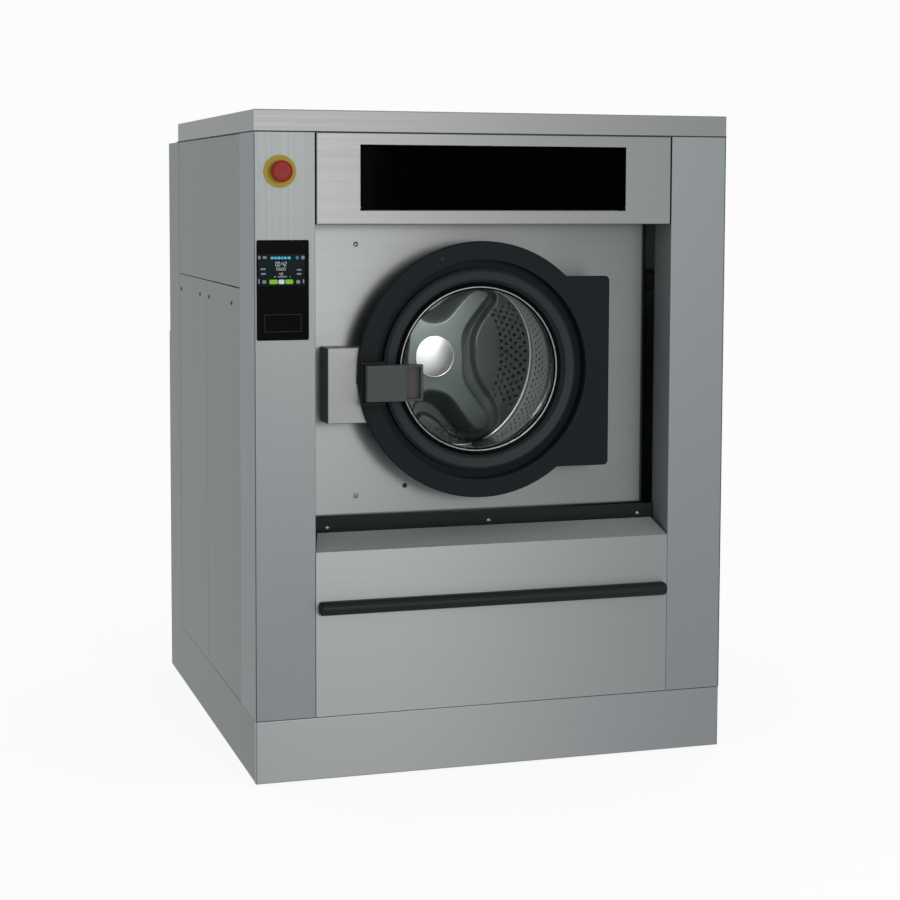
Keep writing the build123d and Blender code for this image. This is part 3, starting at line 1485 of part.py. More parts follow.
with BuildPart() as handle_lever:
    lever_depths = deep_span(handle_front, handle_front + handle_thick)
    lever_spans = ((handle_left, handle_right), lever_depths, (handle_low, handle_high))
    add(rounded(lever_spans, 1, False, handle_edge))
    pocket_z = (handle_low + pocket_margin, handle_high - pocket_margin)
    pocket_depths = deep_span(handle_front - overrun, handle_front + pocket_depth)
    block((pocket_left, pocket_right), pocket_depths, pocket_z, mode=Mode.SUBTRACT)
    lever_bore = (handle_low - overrun, handle_high + overrun)
    round_z(pivot_x, pivot_depth, pivot_radius + running_gap, lever_bore, mode=Mode.SUBTRACT)
write(handle_lever.part, "handle_lever")

# Latch tongue on the door, lock box on the door panel, solenoid and lock pin
tongue_x = about(lock_pin_x, tongue_half)
tongue_z = (tongue_low, tongue_low + tongue_thick)
with BuildPart() as latch_tongue:
    block(tongue_x, deep_span(flange_rear, tongue_rear), tongue_z)
    hole_z = (tongue_z[0] - overrun, tongue_z[1] + overrun)
    round_z(lock_pin_x, lock_pin_depth, tongue_hole, hole_z, mode=Mode.SUBTRACT)
write(latch_tongue.part, "latch_tongue")

with BuildPart() as lock_box:
    lock_depths = deep_span(lock_front, panel_front_depth)
    add(pan((lock_left, lock_right), lock_depths, (lock_low, lock_high), "+Y", bend=sheet * 0.9))
    slot_x = (tongue_x[0] - slot_margin, min(tongue_x[1] + slot_margin, lock_right - 2 * sheet))
    slot_z = (tongue_z[0] - slot_margin, tongue_z[1] + slot_margin)
    block(slot_x, deep_span(lock_front - overrun, lock_front + sheet + overrun), slot_z, mode=Mode.SUBTRACT)
write(lock_box.part, "lock_box")

with BuildPart() as lock_solenoid:
    solenoid_depths = deep_span(solenoid_front, panel_front_depth)
    block(about(lock_pin_x, solenoid_half), solenoid_depths, (solenoid_low, solenoid_high))
    solenoid_bore = (lock_pin_low - overrun, solenoid_high + overrun)
    round_z(lock_pin_x, lock_pin_depth, lock_pin_radius + running_gap, solenoid_bore, mode=Mode.SUBTRACT)
write(lock_solenoid.part, "lock_solenoid")

with BuildPart() as lock_pin:
    round_z(lock_pin_x, lock_pin_depth, lock_pin_radius, (lock_pin_low, lock_pin_high))
write(lock_pin.part, "lock_pin")
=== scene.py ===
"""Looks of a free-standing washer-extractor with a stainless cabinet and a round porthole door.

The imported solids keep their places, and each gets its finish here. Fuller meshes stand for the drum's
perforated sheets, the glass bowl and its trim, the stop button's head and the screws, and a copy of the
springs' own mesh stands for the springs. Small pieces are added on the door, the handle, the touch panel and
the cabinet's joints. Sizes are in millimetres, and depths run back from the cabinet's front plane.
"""

from math import atan2, cos, hypot, pi, radians, sin

import bmesh
import bpy
from mathutils import Matrix, Vector


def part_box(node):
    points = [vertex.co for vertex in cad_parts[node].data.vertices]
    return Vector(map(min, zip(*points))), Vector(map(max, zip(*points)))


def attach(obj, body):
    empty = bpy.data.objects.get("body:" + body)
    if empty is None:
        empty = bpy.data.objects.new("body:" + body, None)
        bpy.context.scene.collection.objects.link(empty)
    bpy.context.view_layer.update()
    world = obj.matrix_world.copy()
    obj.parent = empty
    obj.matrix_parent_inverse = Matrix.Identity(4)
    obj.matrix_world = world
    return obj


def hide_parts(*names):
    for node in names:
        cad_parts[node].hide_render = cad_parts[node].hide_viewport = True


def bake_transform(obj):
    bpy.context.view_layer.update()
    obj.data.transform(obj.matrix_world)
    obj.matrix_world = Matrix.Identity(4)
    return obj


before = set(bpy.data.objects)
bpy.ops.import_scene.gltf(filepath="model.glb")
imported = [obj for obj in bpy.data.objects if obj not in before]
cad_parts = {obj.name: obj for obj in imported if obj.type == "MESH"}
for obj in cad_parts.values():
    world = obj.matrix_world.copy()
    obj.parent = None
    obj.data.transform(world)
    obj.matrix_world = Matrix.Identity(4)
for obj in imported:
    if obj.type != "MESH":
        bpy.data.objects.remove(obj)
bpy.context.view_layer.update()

# A millimetre in metres, and places read from the frame
MM = 0.001
front_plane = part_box("fascia_panel")[0].y / MM
half_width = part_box("top_cover")[1].x / MM
ring_low, ring_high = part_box("door_inner_ring")
axis_x = (ring_low.x + ring_high.x) / 2 / MM
axis_z = (ring_low.z + ring_high.z) / 2 / MM

# Camera, from a fit of the cabinet's corners
camera_place = (-1591.6, -5357.1, 1485.8)
camera_yaw = 17.1374
camera_pitch = 4.3909
camera_roll = 0.2023
camera_lens = 77.547
camera_sensor = 36
camera_shift = (0.00696, -0.12)

# Drum sheets: the barrel, and the back with its star, the valley round it and the islands beyond
drum_inner = 352.3
drum_front = 152.5
drum_sheet = 2.5
back_plane = 575
star_plane = 450
star_slope = 36
valley_wide = 20
island_slope = 14
island_rise = 22
star_hub_radius = 70
star_arm_half = 24
star_reach = 235
star_blend = 70
star_angles = (54, 126, 234, 306)
island_angles = (0, 90, 180, 270)
corner_draw = 20
corner_deep = 90
back_overlap = 1
hub_cap_radius = 57
hub_cap_plane = 440
hub_cap_dome = 6
hub_cap_edge = 0.6
hub_cap_wall = 4
hub_cap_seat = 3
hub_cap_overlap = 8
hub_cap_steps = 12
bead_radius = 328
bead_plane = 550
bead_wire = 5
lip_radius = 240
lip_wire = 5
hole_radius = 5.2
patch_radii = (236, 312)
patch_half_angle = 31
back_columns = 72
back_rows = 19
back_steps = 4
barrel_columns = 112
barrel_rows = 21
barrel_steps = 2
barrel_holed_rows = (2, 19)

# Door glass, the dark lip that holds it, the bright wire on the lip, and the plug in the ring
neck_radius = 210
glass_thick = 7
bowl_power = 3.4
bowl_steps = 40
glass_lip_radius = 205.5
glass_lip_tall = 2.7
glass_lip_wall = 1.5
glass_lip_bevel = 2
glass_lip_crown = 1
trim_wire_radius = 211.5
trim_wire = 2.2
trim_wire_sink = 0.8
plug_radius = 4.5
plug_proud = 1
plug_shoulder = 0.8
plug_shoulder_share = 0.7
plug_angle = 111
plug_circle = 305

# Stop button's head: shares of its radius with how far each lies behind its front, then its hem
stop_face = ((0, 1.2), (0.5, 0.5), (0.72, 0), (0.86, 0.6), (0.96, 2.6), (1, 6))
stop_hem_tall = 2
stop_hem_wide = 1.5
stop_bore = 9

# Cross-recess screws: the rings that shape a head, and the places of the heads on the back
screw_radius = 6.5
screw_dome = 3
recess_half = 1.1
recess_reach = 3.6
recess_depth = 1.6
screw_rings = (0.5, recess_half, 2.3, recess_reach, 5.2, screw_radius)
side_screw_band = 30
bright_screw_reach = -300
rear_inset = 14
rear_top_inset = 24.5
rear_step = 16
rear_side = 92
rear_waist = 600
rear_joint = (1055, 1057)

# Marks on the screen, and the outlines of the bare places on the bezel and the handle
bar_corner_share = 0.18
mark_thick = 0.15
plate_shares = (0.14, 0.85, 0.085, 0.26)
plate_line = 1.2
plate_line_thick = 0.2
pocket_reach = 43
pocket_end = 7
pocket_edge = 6
pocket_deep = 13
pocket_rim = 3
pocket_rim_line = 2.4
pocket_rim_thick = 0.6
pocket_panel_gap = 0.4
pocket_panel_end = 11
pocket_panel_thick = 4
label_across = (43, 97)
label_up = (37, 53)
label_line = 0.8
label_line_thick = 0.25

# Cabinet joints with their strip of painted shade, and the thin faces and strips of painted light and shade
# on the ledge, the recess walls and the column folds
joint_tall = 3.4
joint_proud = 0.4
joint_deep = 1
cover_long_share = 0.985
fold_wide = 2.4
fold_thick = 0.3
ledge_fall = 37
ledge_taper = 20
painted_light_thick = 0.25
wall_depths = (1.5, 105.5)

# How many flats a round has
drum_flats = 96
bead_flats = 144
door_flats = 160
stop_flats = 64
screw_flats = 32
plug_flats = 24

# How long the features of each surface are. Noise lies mostly between its low and high values
scratch_long = 900
scratch_wide = 3
overlay_mark_long = 240
overlay_mark_wide = 6
wash_mark = 60
buff_mark = 12
coat_peel = 4
iron_peel = 7
mould_spark = 2.5
glass_spark = 40
screen_spark = 30
glass_ripple = 70
pixel_row_long = 500
pixel_row_tall = 1.2
dim_row_share = 0.8
paper_mottle = 400
noise_low = 0.3
noise_high = 0.7

# Floor, world and lamps: a lamp's place, aim and size, then its power in watts. The small fill lamp is
# placed and aimed from the drum's axis, its front and its back
stage_half = 40000
white_seen = "#fcfcfc"
lamp_white = "#fff7f2"
world_light = 0.62
floor_glow = 1.1
floor_glow_share = 0.82
key_lamp = ((450, -6200, 2000), (-200, -600, 1200), (1400, 1800), 75)
low_lamp = ((1300, -6200, 700), (-100, -600, 400), (1000, 1000), 38)
panel_lamp = ((1100, -6200, 1600), (-100, -500, 1100), (1400, 1400), 38)
fill_size = (120, 120)
fill_power = 1.3
fill_right = 10
fill_rise = 170
fill_deep = 60
fill_aim_right = 60
fill_aim_drop = 160


def depth_of(y_metres):
    """How far back from the front plane a y of the frame lies, in millimetres."""
    return y_metres / MM - front_plane


def at(x, depth, z):
    """A point in metres, from millimetres across, back from the front plane, and up."""
    return (x * MM, (front_plane + depth) * MM, z * MM)


def linear(hex_colour):
    """An sRGB hex colour as linear red, green and blue, fully opaque."""
    shares = [int(hex_colour[i : i + 2], 16) / 255 for i in (1, 3, 5)]
    return (*(s / 12.92 if s <= 0.04045 else ((s + 0.055) / 1.055) ** 2.4 for s in shares), 1)


def add_node(tree, kind, values=None, links=None, **settings):
    """Adds a node with its settings, its inputs' values and the outputs that feed its inputs."""
    node = tree.nodes.new(kind)
    for name, value in settings.items():
        setattr(node, name, value)
    for name, value in (values or {}).items():
        node.inputs[name].default_value = value
    for name, output in (links or {}).items():
        tree.links.new(output, node.inputs[name])
    return node


def add_object(name, data):
    """A new object of the scene with this data."""
    made = bpy.data.objects.new(name, data)
    bpy.context.scene.collection.objects.link(made)
    return made


# Materials


def finish(name, colour, metallic, roughness, **sockets):
    """A material of one Principled shader, its even values set on the shader's own sockets."""
    material = bpy.data.materials.new(name)
    material.use_nodes = True
    tree = material.node_tree
    shader = tree.nodes["Principled BSDF"]
    even = {"Base Color": linear(colour), "Metallic": metallic, "Roughness": roughness}
    for socket, value in (even | sockets).items():
        shader.inputs[socket.replace("_", " ")].default_value = value
    return material, tree, shader


def grain(tree, sizes, detail=2.0):
    """Noise whose features are so many millimetres long on each axis."""
    place = add_node(tree, "ShaderNodeTexCoord").outputs["Object"]
    scale = {"Scale": [1 / (size * MM) for size in sizes]}
    stretch = add_node(tree, "ShaderNodeMapping", scale, {"Vector": place}).outputs["Vector"]
    return add_node(tree, "ShaderNodeTexNoise", {"Scale": 1.0, "Detail": detail}, {"Vector": stretch})


def vary(tree, shader, noise, colours, roughness):
    """Lets noise run the colour between two hex values and the roughness between two numbers."""
    tint = add_node(tree, "ShaderNodeValToRGB", links={"Fac": noise.outputs["Fac"]})
    for stop, position, colour in zip(tint.color_ramp.elements, (noise_low, noise_high), colours):
        stop.position, stop.color = position, linear(colour)
    tree.links.new(tint.outputs["Color"], shader.inputs["Base Color"])
    sheen = add_node(
        tree,
        "ShaderNodeMapRange",
        {"From Min": noise_low, "From Max": noise_high, "To Min": roughness[0], "To Max": roughness[1]},
        {"Value": noise.outputs["Fac"]},
    )
    tree.links.new(sheen.outputs["Result"], shader.inputs["Roughness"])


def emboss(tree, shader, noise, height, strength):
    """Raises the surface by the noise, height in millimetres."""
    values = {"Strength": strength, "Distance": height * MM}
    relief = add_node(tree, "ShaderNodeBump", values, {"Height": noise.outputs["Fac"]})
    tree.links.new(relief.outputs["Normal"], shader.inputs["Normal"])


def mix_shaders(tree, share, first, second, surface):
    """Feeds a surface with the first shader where the share is 0, and with the second where it is 1."""
    mix = add_node(tree, "ShaderNodeMixShader", links={0: share, 1: first.outputs[0], 2: second.outputs[0]})
    tree.links.new(mix.outputs["Shader"], surface)


def brushed_stainless(name, along, colours, roughness=(0.43, 0.49), spread=0.7):
    """Austenitic stainless sheet, number 4 brushed: a soft grey sheen with faint parallel grain.

    The belt's scratches are about 0.1 mm wide, too fine to show, so they are drawn 3 mm wide. Light
    spreads across them, and a level grain turns that spread upright.
    """
    turned = 0.25 if along == "X" else 0
    material, tree, shader = finish(
        name, colours[0], metallic=1.0, roughness=0.4, Anisotropic=spread, Anisotropic_Rotation=turned
    )
    sizes = [scratch_long if axis == along else scratch_wide for axis in "XYZ"]
    scratch = grain(tree, sizes, detail=3.0)
    vary(tree, shader, scratch, colours, roughness)
    emboss(tree, shader, scratch, height=0.02, strength=0.35)
    return material


def painted_light_stainless(name, colours):
    """Thin matt stainless faces laid over a sheet as painted light: a lighter colour, with part of its light
    spread evenly.
    """
    material, tree, shader = finish(name, colours[0], metallic=0.45, roughness=0.5, Specular_IOR_Level=0.3)
    vary(tree, shader, grain(tree, (overlay_mark_long, overlay_mark_wide, overlay_mark_wide), detail=3.0), colours, (0.48, 0.56))
    return material


def satin_stainless(name, colours, roughness, metallic=1.0):
    """Stainless sheet, rolled or washed smooth: an even satin sheen with no grain.

    The thin film of lime on the drum's sheets spreads some of their light, so they are less metallic.
    """
    material, tree, shader = finish(name, colours[0], metallic, roughness[0])
    vary(tree, shader, grain(tree, (wash_mark,) * 3, detail=3.0), colours, roughness)
    return material


def powder_coat(name, colours, roughness, peel_wide=coat_peel, specular=0.5):
    """Baked powder coat on metal: an even colour with a faint orange peel a few millimetres across."""
    material, tree, shader = finish(
        name, colours[0], metallic=0.0, roughness=roughness[0], Specular_IOR_Level=specular
    )
    peel = grain(tree, (peel_wide,) * 3)
    vary(tree, shader, peel, colours, roughness)
    emboss(tree, shader, peel, height=0.03, strength=0.4)
    return material


def moulded(name, colours, roughness, spark_wide=mould_spark, specular=0.5):
    """Moulded plastic, rubber or glass: a fine even spark texture from the tool.

    The texture is about 0.1 mm wide, too fine to show, so on plastic it is drawn 2.5 mm wide. On
    glass it stands for the faint waves of the sheet.
    """
    material, tree, shader = finish(
        name, colours[0], metallic=0.0, roughness=roughness[0], Specular_IOR_Level=specular
    )
    spark = grain(tree, (spark_wide,) * 3, detail=1.0)
    vary(tree, shader, spark, colours, roughness)
    emboss(tree, shader, spark, height=0.02, strength=0.3)
    return material


def polished_metal(name, colours, roughness):
    """Turned and buffed metal: a bright, fairly sharp sheen with the faint marks of the buffing wheel."""
    material, tree, shader = finish(name, colours[0], metallic=1.0, roughness=roughness[0])
    vary(tree, shader, grain(tree, (buff_mark,) * 3), colours, roughness)
    return material


def borosilicate_glass():
    """Pressed borosilicate bowl: clear and smooth with faint waves, and lamps shine through it."""
    material, tree, shader = finish(
        "borosilicate_glass",
        "#f4f8f6",
        metallic=0.0,
        roughness=0.0,
        IOR=1.47,
        Transmission_Weight=1.0,
        Specular_Tint=linear("#3a3c3c"),
    )
    ripple = grain(tree, (glass_ripple,) * 3, detail=0.0)
    vary(tree, shader, ripple, ("#eef3f3", "#f6fafa"), (0.0, 0.02))
    path = add_node(tree, "ShaderNodeLightPath")
    clear = add_node(tree, "ShaderNodeBsdfTransparent", {"Color": linear("#dfe5e2")})
    surface = tree.nodes["Material Output"].inputs["Surface"]
    mix_shaders(tree, path.outputs["Is Shadow Ray"], shader, clear, surface)
    return material


def lit_display(name, colour, strength):
    """A liquid-crystal screen's lit area: it gives its own even light, cut by the pixel rows.

    Real rows are about 0.1 mm tall, too fine to show, so they are drawn 1.2 mm tall.
    """
    material, tree, shader = finish(
        name, "#0c0e10", metallic=0.0, roughness=0.3, Emission_Strength=strength, Specular_IOR_Level=0.05
    )
    rows = grain(tree, (pixel_row_long, pixel_row_long, pixel_row_tall), detail=0.0)
    tint = add_node(tree, "ShaderNodeValToRGB", links={"Fac": rows.outputs["Fac"]})
    tint.color_ramp.elements[0].color = (*(dim_row_share * share for share in linear(colour)[:3]), 1)
    tint.color_ramp.elements[1].color = linear(colour)
    tree.links.new(tint.outputs["Color"], shader.inputs["Emission Color"])
    return material


# Stainless skins: one kind of sheet, with a grain direction for each panel. Each panel's base colour is set
# lighter or darker as painted light and shade for how light falls on it, so the door panel in its recess is
# darkest by painted shade
steel_panel = brushed_stainless("brushed_stainless_door_panel", "X", ("#6b7070", "#6f7474"), (0.38, 0.42))
steel_lock = brushed_stainless("brushed_stainless_lock_box", "Z", ("#919494", "#959898"))
steel_column = brushed_stainless(
    "brushed_stainless_left_column", "Z", ("#82888a", "#868c8e"), (0.47, 0.53), spread=0.3
)
steel_right = brushed_stainless(
    "brushed_stainless_right_column", "Z", ("#7e8486", "#82888a"), (0.47, 0.53), spread=0.3
)
steel_fascia = brushed_stainless("brushed_stainless_fascia", "X", ("#898c8d", "#8d9091"))
steel_cover = brushed_stainless("brushed_stainless_cover", "X", ("#808484", "#848888"), spread=0.3)
steel_plinth = brushed_stainless("brushed_stainless_plinth", "X", ("#7c8082", "#808486"))
steel_lower = brushed_stainless("brushed_stainless_lower_front", "X", ("#7a8081", "#7e8485"))
steel_side = brushed_stainless("brushed_stainless_side", "Z", ("#7b8181", "#7f8585"))
# Painted light: thin lighter matt faces laid over the ledge and the recess walls
ledge_painted_light_steel = painted_light_stainless("painted_light_stainless_ledge", ("#959c9c", "#9ba2a2"))
recess_painted_light_steel = painted_light_stainless("painted_light_stainless_recess_wall", ("#838a8c", "#898f91"))
# Painted shade: dark strips on the front columns' folds, for the dark that their tight bends reflect
fold_shade_steel = satin_stainless("painted_shade_folded_edge", ("#3f474a", "#454d50"), (0.4, 0.5))

# Inner sheets, the drum, trim and screws
plate_steel = satin_stainless("rolled_stainless_plate", ("#7b7d7d", "#858888"), (0.4, 0.5))
# Painted light and shade in the drum: its back, lifters and front take a darker copy of the stainless, and
# the barrel a lighter one
drum_steel = satin_stainless("washed_drum_stainless_painted_shade", ("#4d5657", "#525b5c"), (0.48, 0.54), 0.45)
barrel_painted_light_steel = satin_stainless("washed_barrel_stainless_painted_light", ("#a2aaa9", "#a8b0af"), (0.44, 0.5), 0.45)
# Polished stainless of the hub cap, also laid on the rim bead as a painted highlight
hub_and_bead_highlight_steel = polished_metal("polished_hub_stainless_and_bead_highlight", ("#d4d3d5", "#dad9db"), (0.32, 0.36))
trim_steel = polished_metal("polished_trim_stainless", ("#8c8f90", "#979a9a"), (0.26, 0.32))
spring_steel = polished_metal("oiled_spring_steel", ("#3a3b3d", "#454648"), (0.3, 0.4))
brass = polished_metal("turned_brass", ("#b8954a", "#c2a055"), (0.22, 0.3))
screw_steel = polished_metal("zinc_plated_screw_steel", ("#8a8c8c", "#9a9c9c"), (0.25, 0.35))

# Painted metal
# Dark screw heads: those on the side panels and the door panel's screws away from its left end
dark_screw = powder_coat("dark_headed_screw_steel", ("#17191a", "#1c1e1f"), (0.4, 0.5))
door_paint = powder_coat("charcoal_powder_coat", ("#171c1f", "#1a1f22"), (0.5, 0.58), specular=0.08)
ring_paint = powder_coat("slate_powder_coat", ("#272d30", "#2a3033"), (0.42, 0.5), specular=0.12)
bracket_paint = powder_coat("black_powder_coat", ("#101213", "#131516"), (0.45, 0.55), specular=0.1)
frame_paint = powder_coat("grey_frame_powder_coat", ("#4a4d4f", "#505355"), (0.5, 0.6))
# Painted shade: the trough plate sits in shade between the ledge and the door panel, and is coloured near
# black for it
trough_shade_paint = powder_coat("trough_painted_shade_coat", ("#1d2324", "#202627"), (0.5, 0.6), specular=0.1)
cast_iron = powder_coat("painted_cast_iron", ("#44484a", "#505456"), (0.55, 0.7), iron_peel)

# Plastics, rubber and glass
handle_plastic = moulded("moulded_glass_filled_nylon", ("#474e4e", "#4b5252"), (0.5, 0.58), specular=0.12)
pocket_plastic = moulded("moulded_mauve_nylon", ("#514b4e", "#564f52"), (0.55, 0.62), specular=0.12)
rail_plastic = moulded("extruded_black_pvc", ("#121617", "#151a1b"), (0.42, 0.5), specular=0.15)
black_abs = moulded("moulded_black_abs", ("#050707", "#070909"), (0.25, 0.32), specular=0.015)
yellow_abs = moulded("moulded_yellow_abs", ("#ab9632", "#b09b36"), (0.45, 0.55), specular=0.15)
red_abs = moulded("moulded_red_abs", ("#8a1f1b", "#902521"), (0.35, 0.42), specular=0.15)
hopper_plastic = moulded("moulded_white_polypropylene", ("#c3c4c3", "#c9cac9"), (0.45, 0.55))
seal_rubber = moulded("moulded_grey_epdm_rubber", ("#17191a", "#1b1d1e"), (0.6, 0.75), specular=0.1)
# Painted shade: a dark strip standing for the shaded gap under the top cover
gap_shade_material = moulded("painted_shade_gap_strip", ("#343b3e", "#394043"), (0.6, 0.7), specular=0.1)
tempered_black = moulded(
    "back_painted_tempered_glass", ("#010101", "#020202"), (0.06, 0.09), glass_spark, specular=0.004
)
screen_glass = moulded(
    "cover_glass_over_dark_lcd", ("#10191d", "#131d21"), (0.12, 0.18), screen_spark, specular=0.02
)
clear_glass = borosilicate_glass()
lcd_cyan = lit_display("lcd_cyan", "#4fb4d8", 1.0)
lcd_white = lit_display("lcd_white", "#dfe6ea", 0.85)
lcd_grey = lit_display("lcd_grey", "#8a949c", 0.8)
lcd_green = lit_display("lcd_green", "#84cc2a", 0.85)
lcd_blue = lit_display("lcd_blue", "#3d86ad", 0.8)

node_finishes = (
    (steel_fascia, ("fascia_panel",)),
    (steel_cover, ("top_cover",)),
    (steel_plinth, ("plinth_front",)),
    (steel_lower, ("lower_front_panel",)),
    (steel_panel, ("door_panel",)),
    (steel_lock, ("lock_box",)),
    (steel_column, ("left_column",)),
    (steel_right, ("right_column",)),
    (steel_side, ("plinth_skirts", "upper_side_panels", "service_panels", "rear_corners", "back_panels")),
    (frame_paint, ("base_frame", "cabinet_frame", "electrical_box", "tub_cradle")),
    (rail_plastic, ("bumper_bar",)),
    (trough_shade_paint, ("trough_plate",)),
    (black_abs, ("touch_bezel", "estop_body", "estop_plunger")),
    (black_abs, ("drain_valve", "cable_gland", "lock_solenoid")),
    (screen_glass, ("touch_screen",)),
    (yellow_abs, ("estop_disc",)),
    (hopper_plastic, ("dispenser_hopper",)),
    (spring_steel, ("springs", "damper_cylinders")),
    (seal_rubber, ("drain_hose", "door_gasket", "drive_belt")),
    (brass, ("water_inlets",)),
    (plate_steel, ("door_carrier", "tub_shell", "tub_back", "bearings", "latch_tongue")),
    (bracket_paint, ("hinge_brackets", "handle_bracket")),
    (cast_iron, ("bearing_housing", "motor_housing", "drum_spider", "drum_pulley", "motor_pulley")),
    (trim_steel, ("damper_rods", "door_trim_ring", "lock_pin")),
    (drum_steel, ("drum_shell", "drum_back", "drum_lifters")),
    (door_paint, ("door_frame",)),
    (ring_paint, ("door_inner_ring",)),
    (clear_glass, ("door_glass",)),
    (handle_plastic, ("handle_lever",)),
    (red_abs, ("estop_head",)),
    (tempered_black, ("dispenser_flap",)),
    (screw_steel, ("cabinet_screws", "panel_screws")),
)
for material, names in node_finishes:
    for name in names:
        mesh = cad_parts[name].data
        mesh.materials.clear()
        mesh.materials.append(material)
dressed = {name for _, names in node_finishes for name in names}
assert dressed == set(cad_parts), set(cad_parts) - dressed


# Meshes


def piece(name, points, faces, material, body, slot, crease=35):
    """A mesh piece from points in metres, smooth except at its creases, riding on a body."""
    mesh = bpy.data.meshes.new(name)
    mesh.from_pydata(points, [], faces)
    mesh.validate()
    shape = bmesh.new()
    shape.from_mesh(mesh)
    bmesh.ops.remove_doubles(shape, verts=shape.verts, dist=0.01 * MM)
    bmesh.ops.recalc_face_normals(shape, faces=shape.faces)
    shape.to_mesh(mesh)
    shape.free()
    mesh.shade_smooth()
    mesh.set_sharp_from_angle(angle=radians(crease))
    mesh.materials.append(material)
    made = add_object(name, mesh)
    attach(made, body)
    return made


def lathe(outline, segments, closed=True, centre=(axis_x, axis_z)):
    """Points and faces of an outline of (radius, depth) points turned about an axis along the depth.

    The axis is the drum's and the door's, unless another centre is given.
    """
    points, faces = [], []
    count = len(outline)
    for step in range(segments):
        angle = 2 * pi * step / segments
        points += [at(centre[0] + r * cos(angle), d, centre[1] + r * sin(angle)) for r, d in outline]
    for step in range(segments):
        here, there = step * count, (step + 1) % segments * count
        for i in range(count if closed else count - 1):
            j = (i + 1) % count
            faces.append((here + i, here + j, there + j, there + i))
    return points, faces


def perforated(columns, rows, steps, place, holed, hole):
    """A sheet closed round its columns, in cells of one hole pitch, with a hole in each holed cell.

    Every other row of cells is shifted by half a pitch, and a cell's side is cut into steps. place turns
    columns and rows into a point, and hole gives the hole's half sizes, in pitches, at a row.
    """
    around = steps * columns
    points = [place(i / steps, j / steps) for j in range(steps * rows + 1) for i in range(around)]
    faces = []
    half = steps // 2
    # One side of a cell's border, and then the same side turned three times
    border = [(half, v) for v in range(-half, half)]
    for _ in range(3):
        border += [(-v, u) for u, v in border[-steps:]]

    def corner(i, j):
        return j * around + i % around

    for row in range(rows):
        for column in range(columns):
            i, j = steps * column + half + row % 2 * half, steps * row + half
            if not holed(i / steps, j / steps):
                for u in range(i - half, i + half):
                    for v in range(j - half, j + half):
                        ring = ((u, v), (u + 1, v), (u + 1, v + 1), (u, v + 1))
                        faces.append([corner(*spot) for spot in ring])
                continue
            first, count = len(points), len(border)
            wide, high = hole(j / steps)
            for u, v in border:
                turn = atan2(v, u)
                points.append(place(i / steps + wide * cos(turn), j / steps + high * sin(turn)))
            for k in range(count):
                after = (k + 1) % count
                (u, v), (s, t) = border[k], border[after]
                faces.append((corner(i + u, j + v), corner(i + s, j + t), first + after, first + k))
    return points, faces


def wire_section(radius, depth, wire):
    """Twelve points round a wire whose ring has this radius and lies at this depth."""
    turns = [radians(step) for step in range(0, 360, 30)]
    return [(radius + wire * cos(turn), depth + wire * sin(turn)) for turn in turns]


def thicken(made, thickness, crease=40):
    """Gives a sheet its thickness, with sharp-edged walls in its holes."""
    wall = made.modifiers.new("sheet", "SOLIDIFY")
    wall.thickness = thickness * MM
    wall.offset = -1
    seen = made.evaluated_get(bpy.context.evaluated_depsgraph_get())
    made.data = bpy.data.meshes.new_from_object(seen)
    made.modifiers.clear()
    made.data.set_sharp_from_angle(angle=radians(crease))


# Drum: perforated barrel, rolled front plate, pressed back with its star, rim bead and hub cap


def star_distance(x, z):
    """How far a point of the drum back lies outside the pressed star, its arms blended into its hub."""
    blended = hypot(x, z) - star_hub_radius
    for angle in star_angles:
        turn = radians(angle)
        along = x * cos(turn) + z * sin(turn)
        across = abs(z * cos(turn) - x * sin(turn))
        distance = hypot(along - min(max(along, 0), star_reach), across) - star_arm_half
        overlap = max(star_blend - abs(blended - distance), 0) / star_blend
        blended = min(blended, distance) - overlap * overlap * star_blend / 4
    return blended


def smooth_share(distance, width):
    """How far along a soft S-shaped step a distance is, from 0 to 1."""
    share = min(max(distance / width, 0), 1)
    return share * share * (3 - 2 * share)


def back_depth(x, z):
    """Depth of the pressed back: the star in front, a valley round it, and the holed islands beyond."""
    outside = star_distance(x, z)
    fall = (back_plane - star_plane) * smooth_share(outside, star_slope)
    return star_plane + fall - island_rise * smooth_share(outside - star_slope - valley_wide, island_slope)


back_inner = hub_cap_radius - hub_cap_overlap
back_pitch = (drum_inner - corner_draw + back_overlap - back_inner) / back_rows


def back_point(column, row):
    radius, angle = back_inner + row * back_pitch, 2 * pi * column / back_columns
    x, z = radius * cos(angle), radius * sin(angle)
    return at(axis_x + x, back_depth(x, z), axis_z + z)


def back_holed(column, row):
    radius, angle = back_inner + row * back_pitch, 360 * column / back_columns
    nearest = min(abs((angle - island + 180) % 360 - 180) for island in island_angles)
    return patch_radii[0] < radius < patch_radii[1] and nearest < patch_half_angle


def back_hole(row):
    around_pitch = 2 * pi * (back_inner + row * back_pitch) / back_columns
    return hole_radius / around_pitch, hole_radius / back_pitch


points, faces = perforated(back_columns, back_rows, back_steps, back_point, back_holed, back_hole)
drum_back_sheet = piece("drum_back_sheet", points, faces, drum_steel, "drum", "drum_steel", 60)
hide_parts("drum_back")
thicken(drum_back_sheet, drum_sheet)

barrel_pitch = (back_plane - drum_front) / barrel_rows


def barrel_point(column, row):
    angle = 2 * pi * column / barrel_columns
    depth = drum_front + row * barrel_pitch
    radius = drum_inner - corner_draw * max(1 - (back_plane - depth) / corner_deep, 0)
    return at(axis_x + radius * cos(angle), depth, axis_z + radius * sin(angle))


def barrel_holed(column, row):
    return barrel_holed_rows[0] <= row < barrel_holed_rows[1]


def barrel_hole(row):
    return hole_radius * barrel_columns / (2 * pi * drum_inner), hole_radius / barrel_pitch


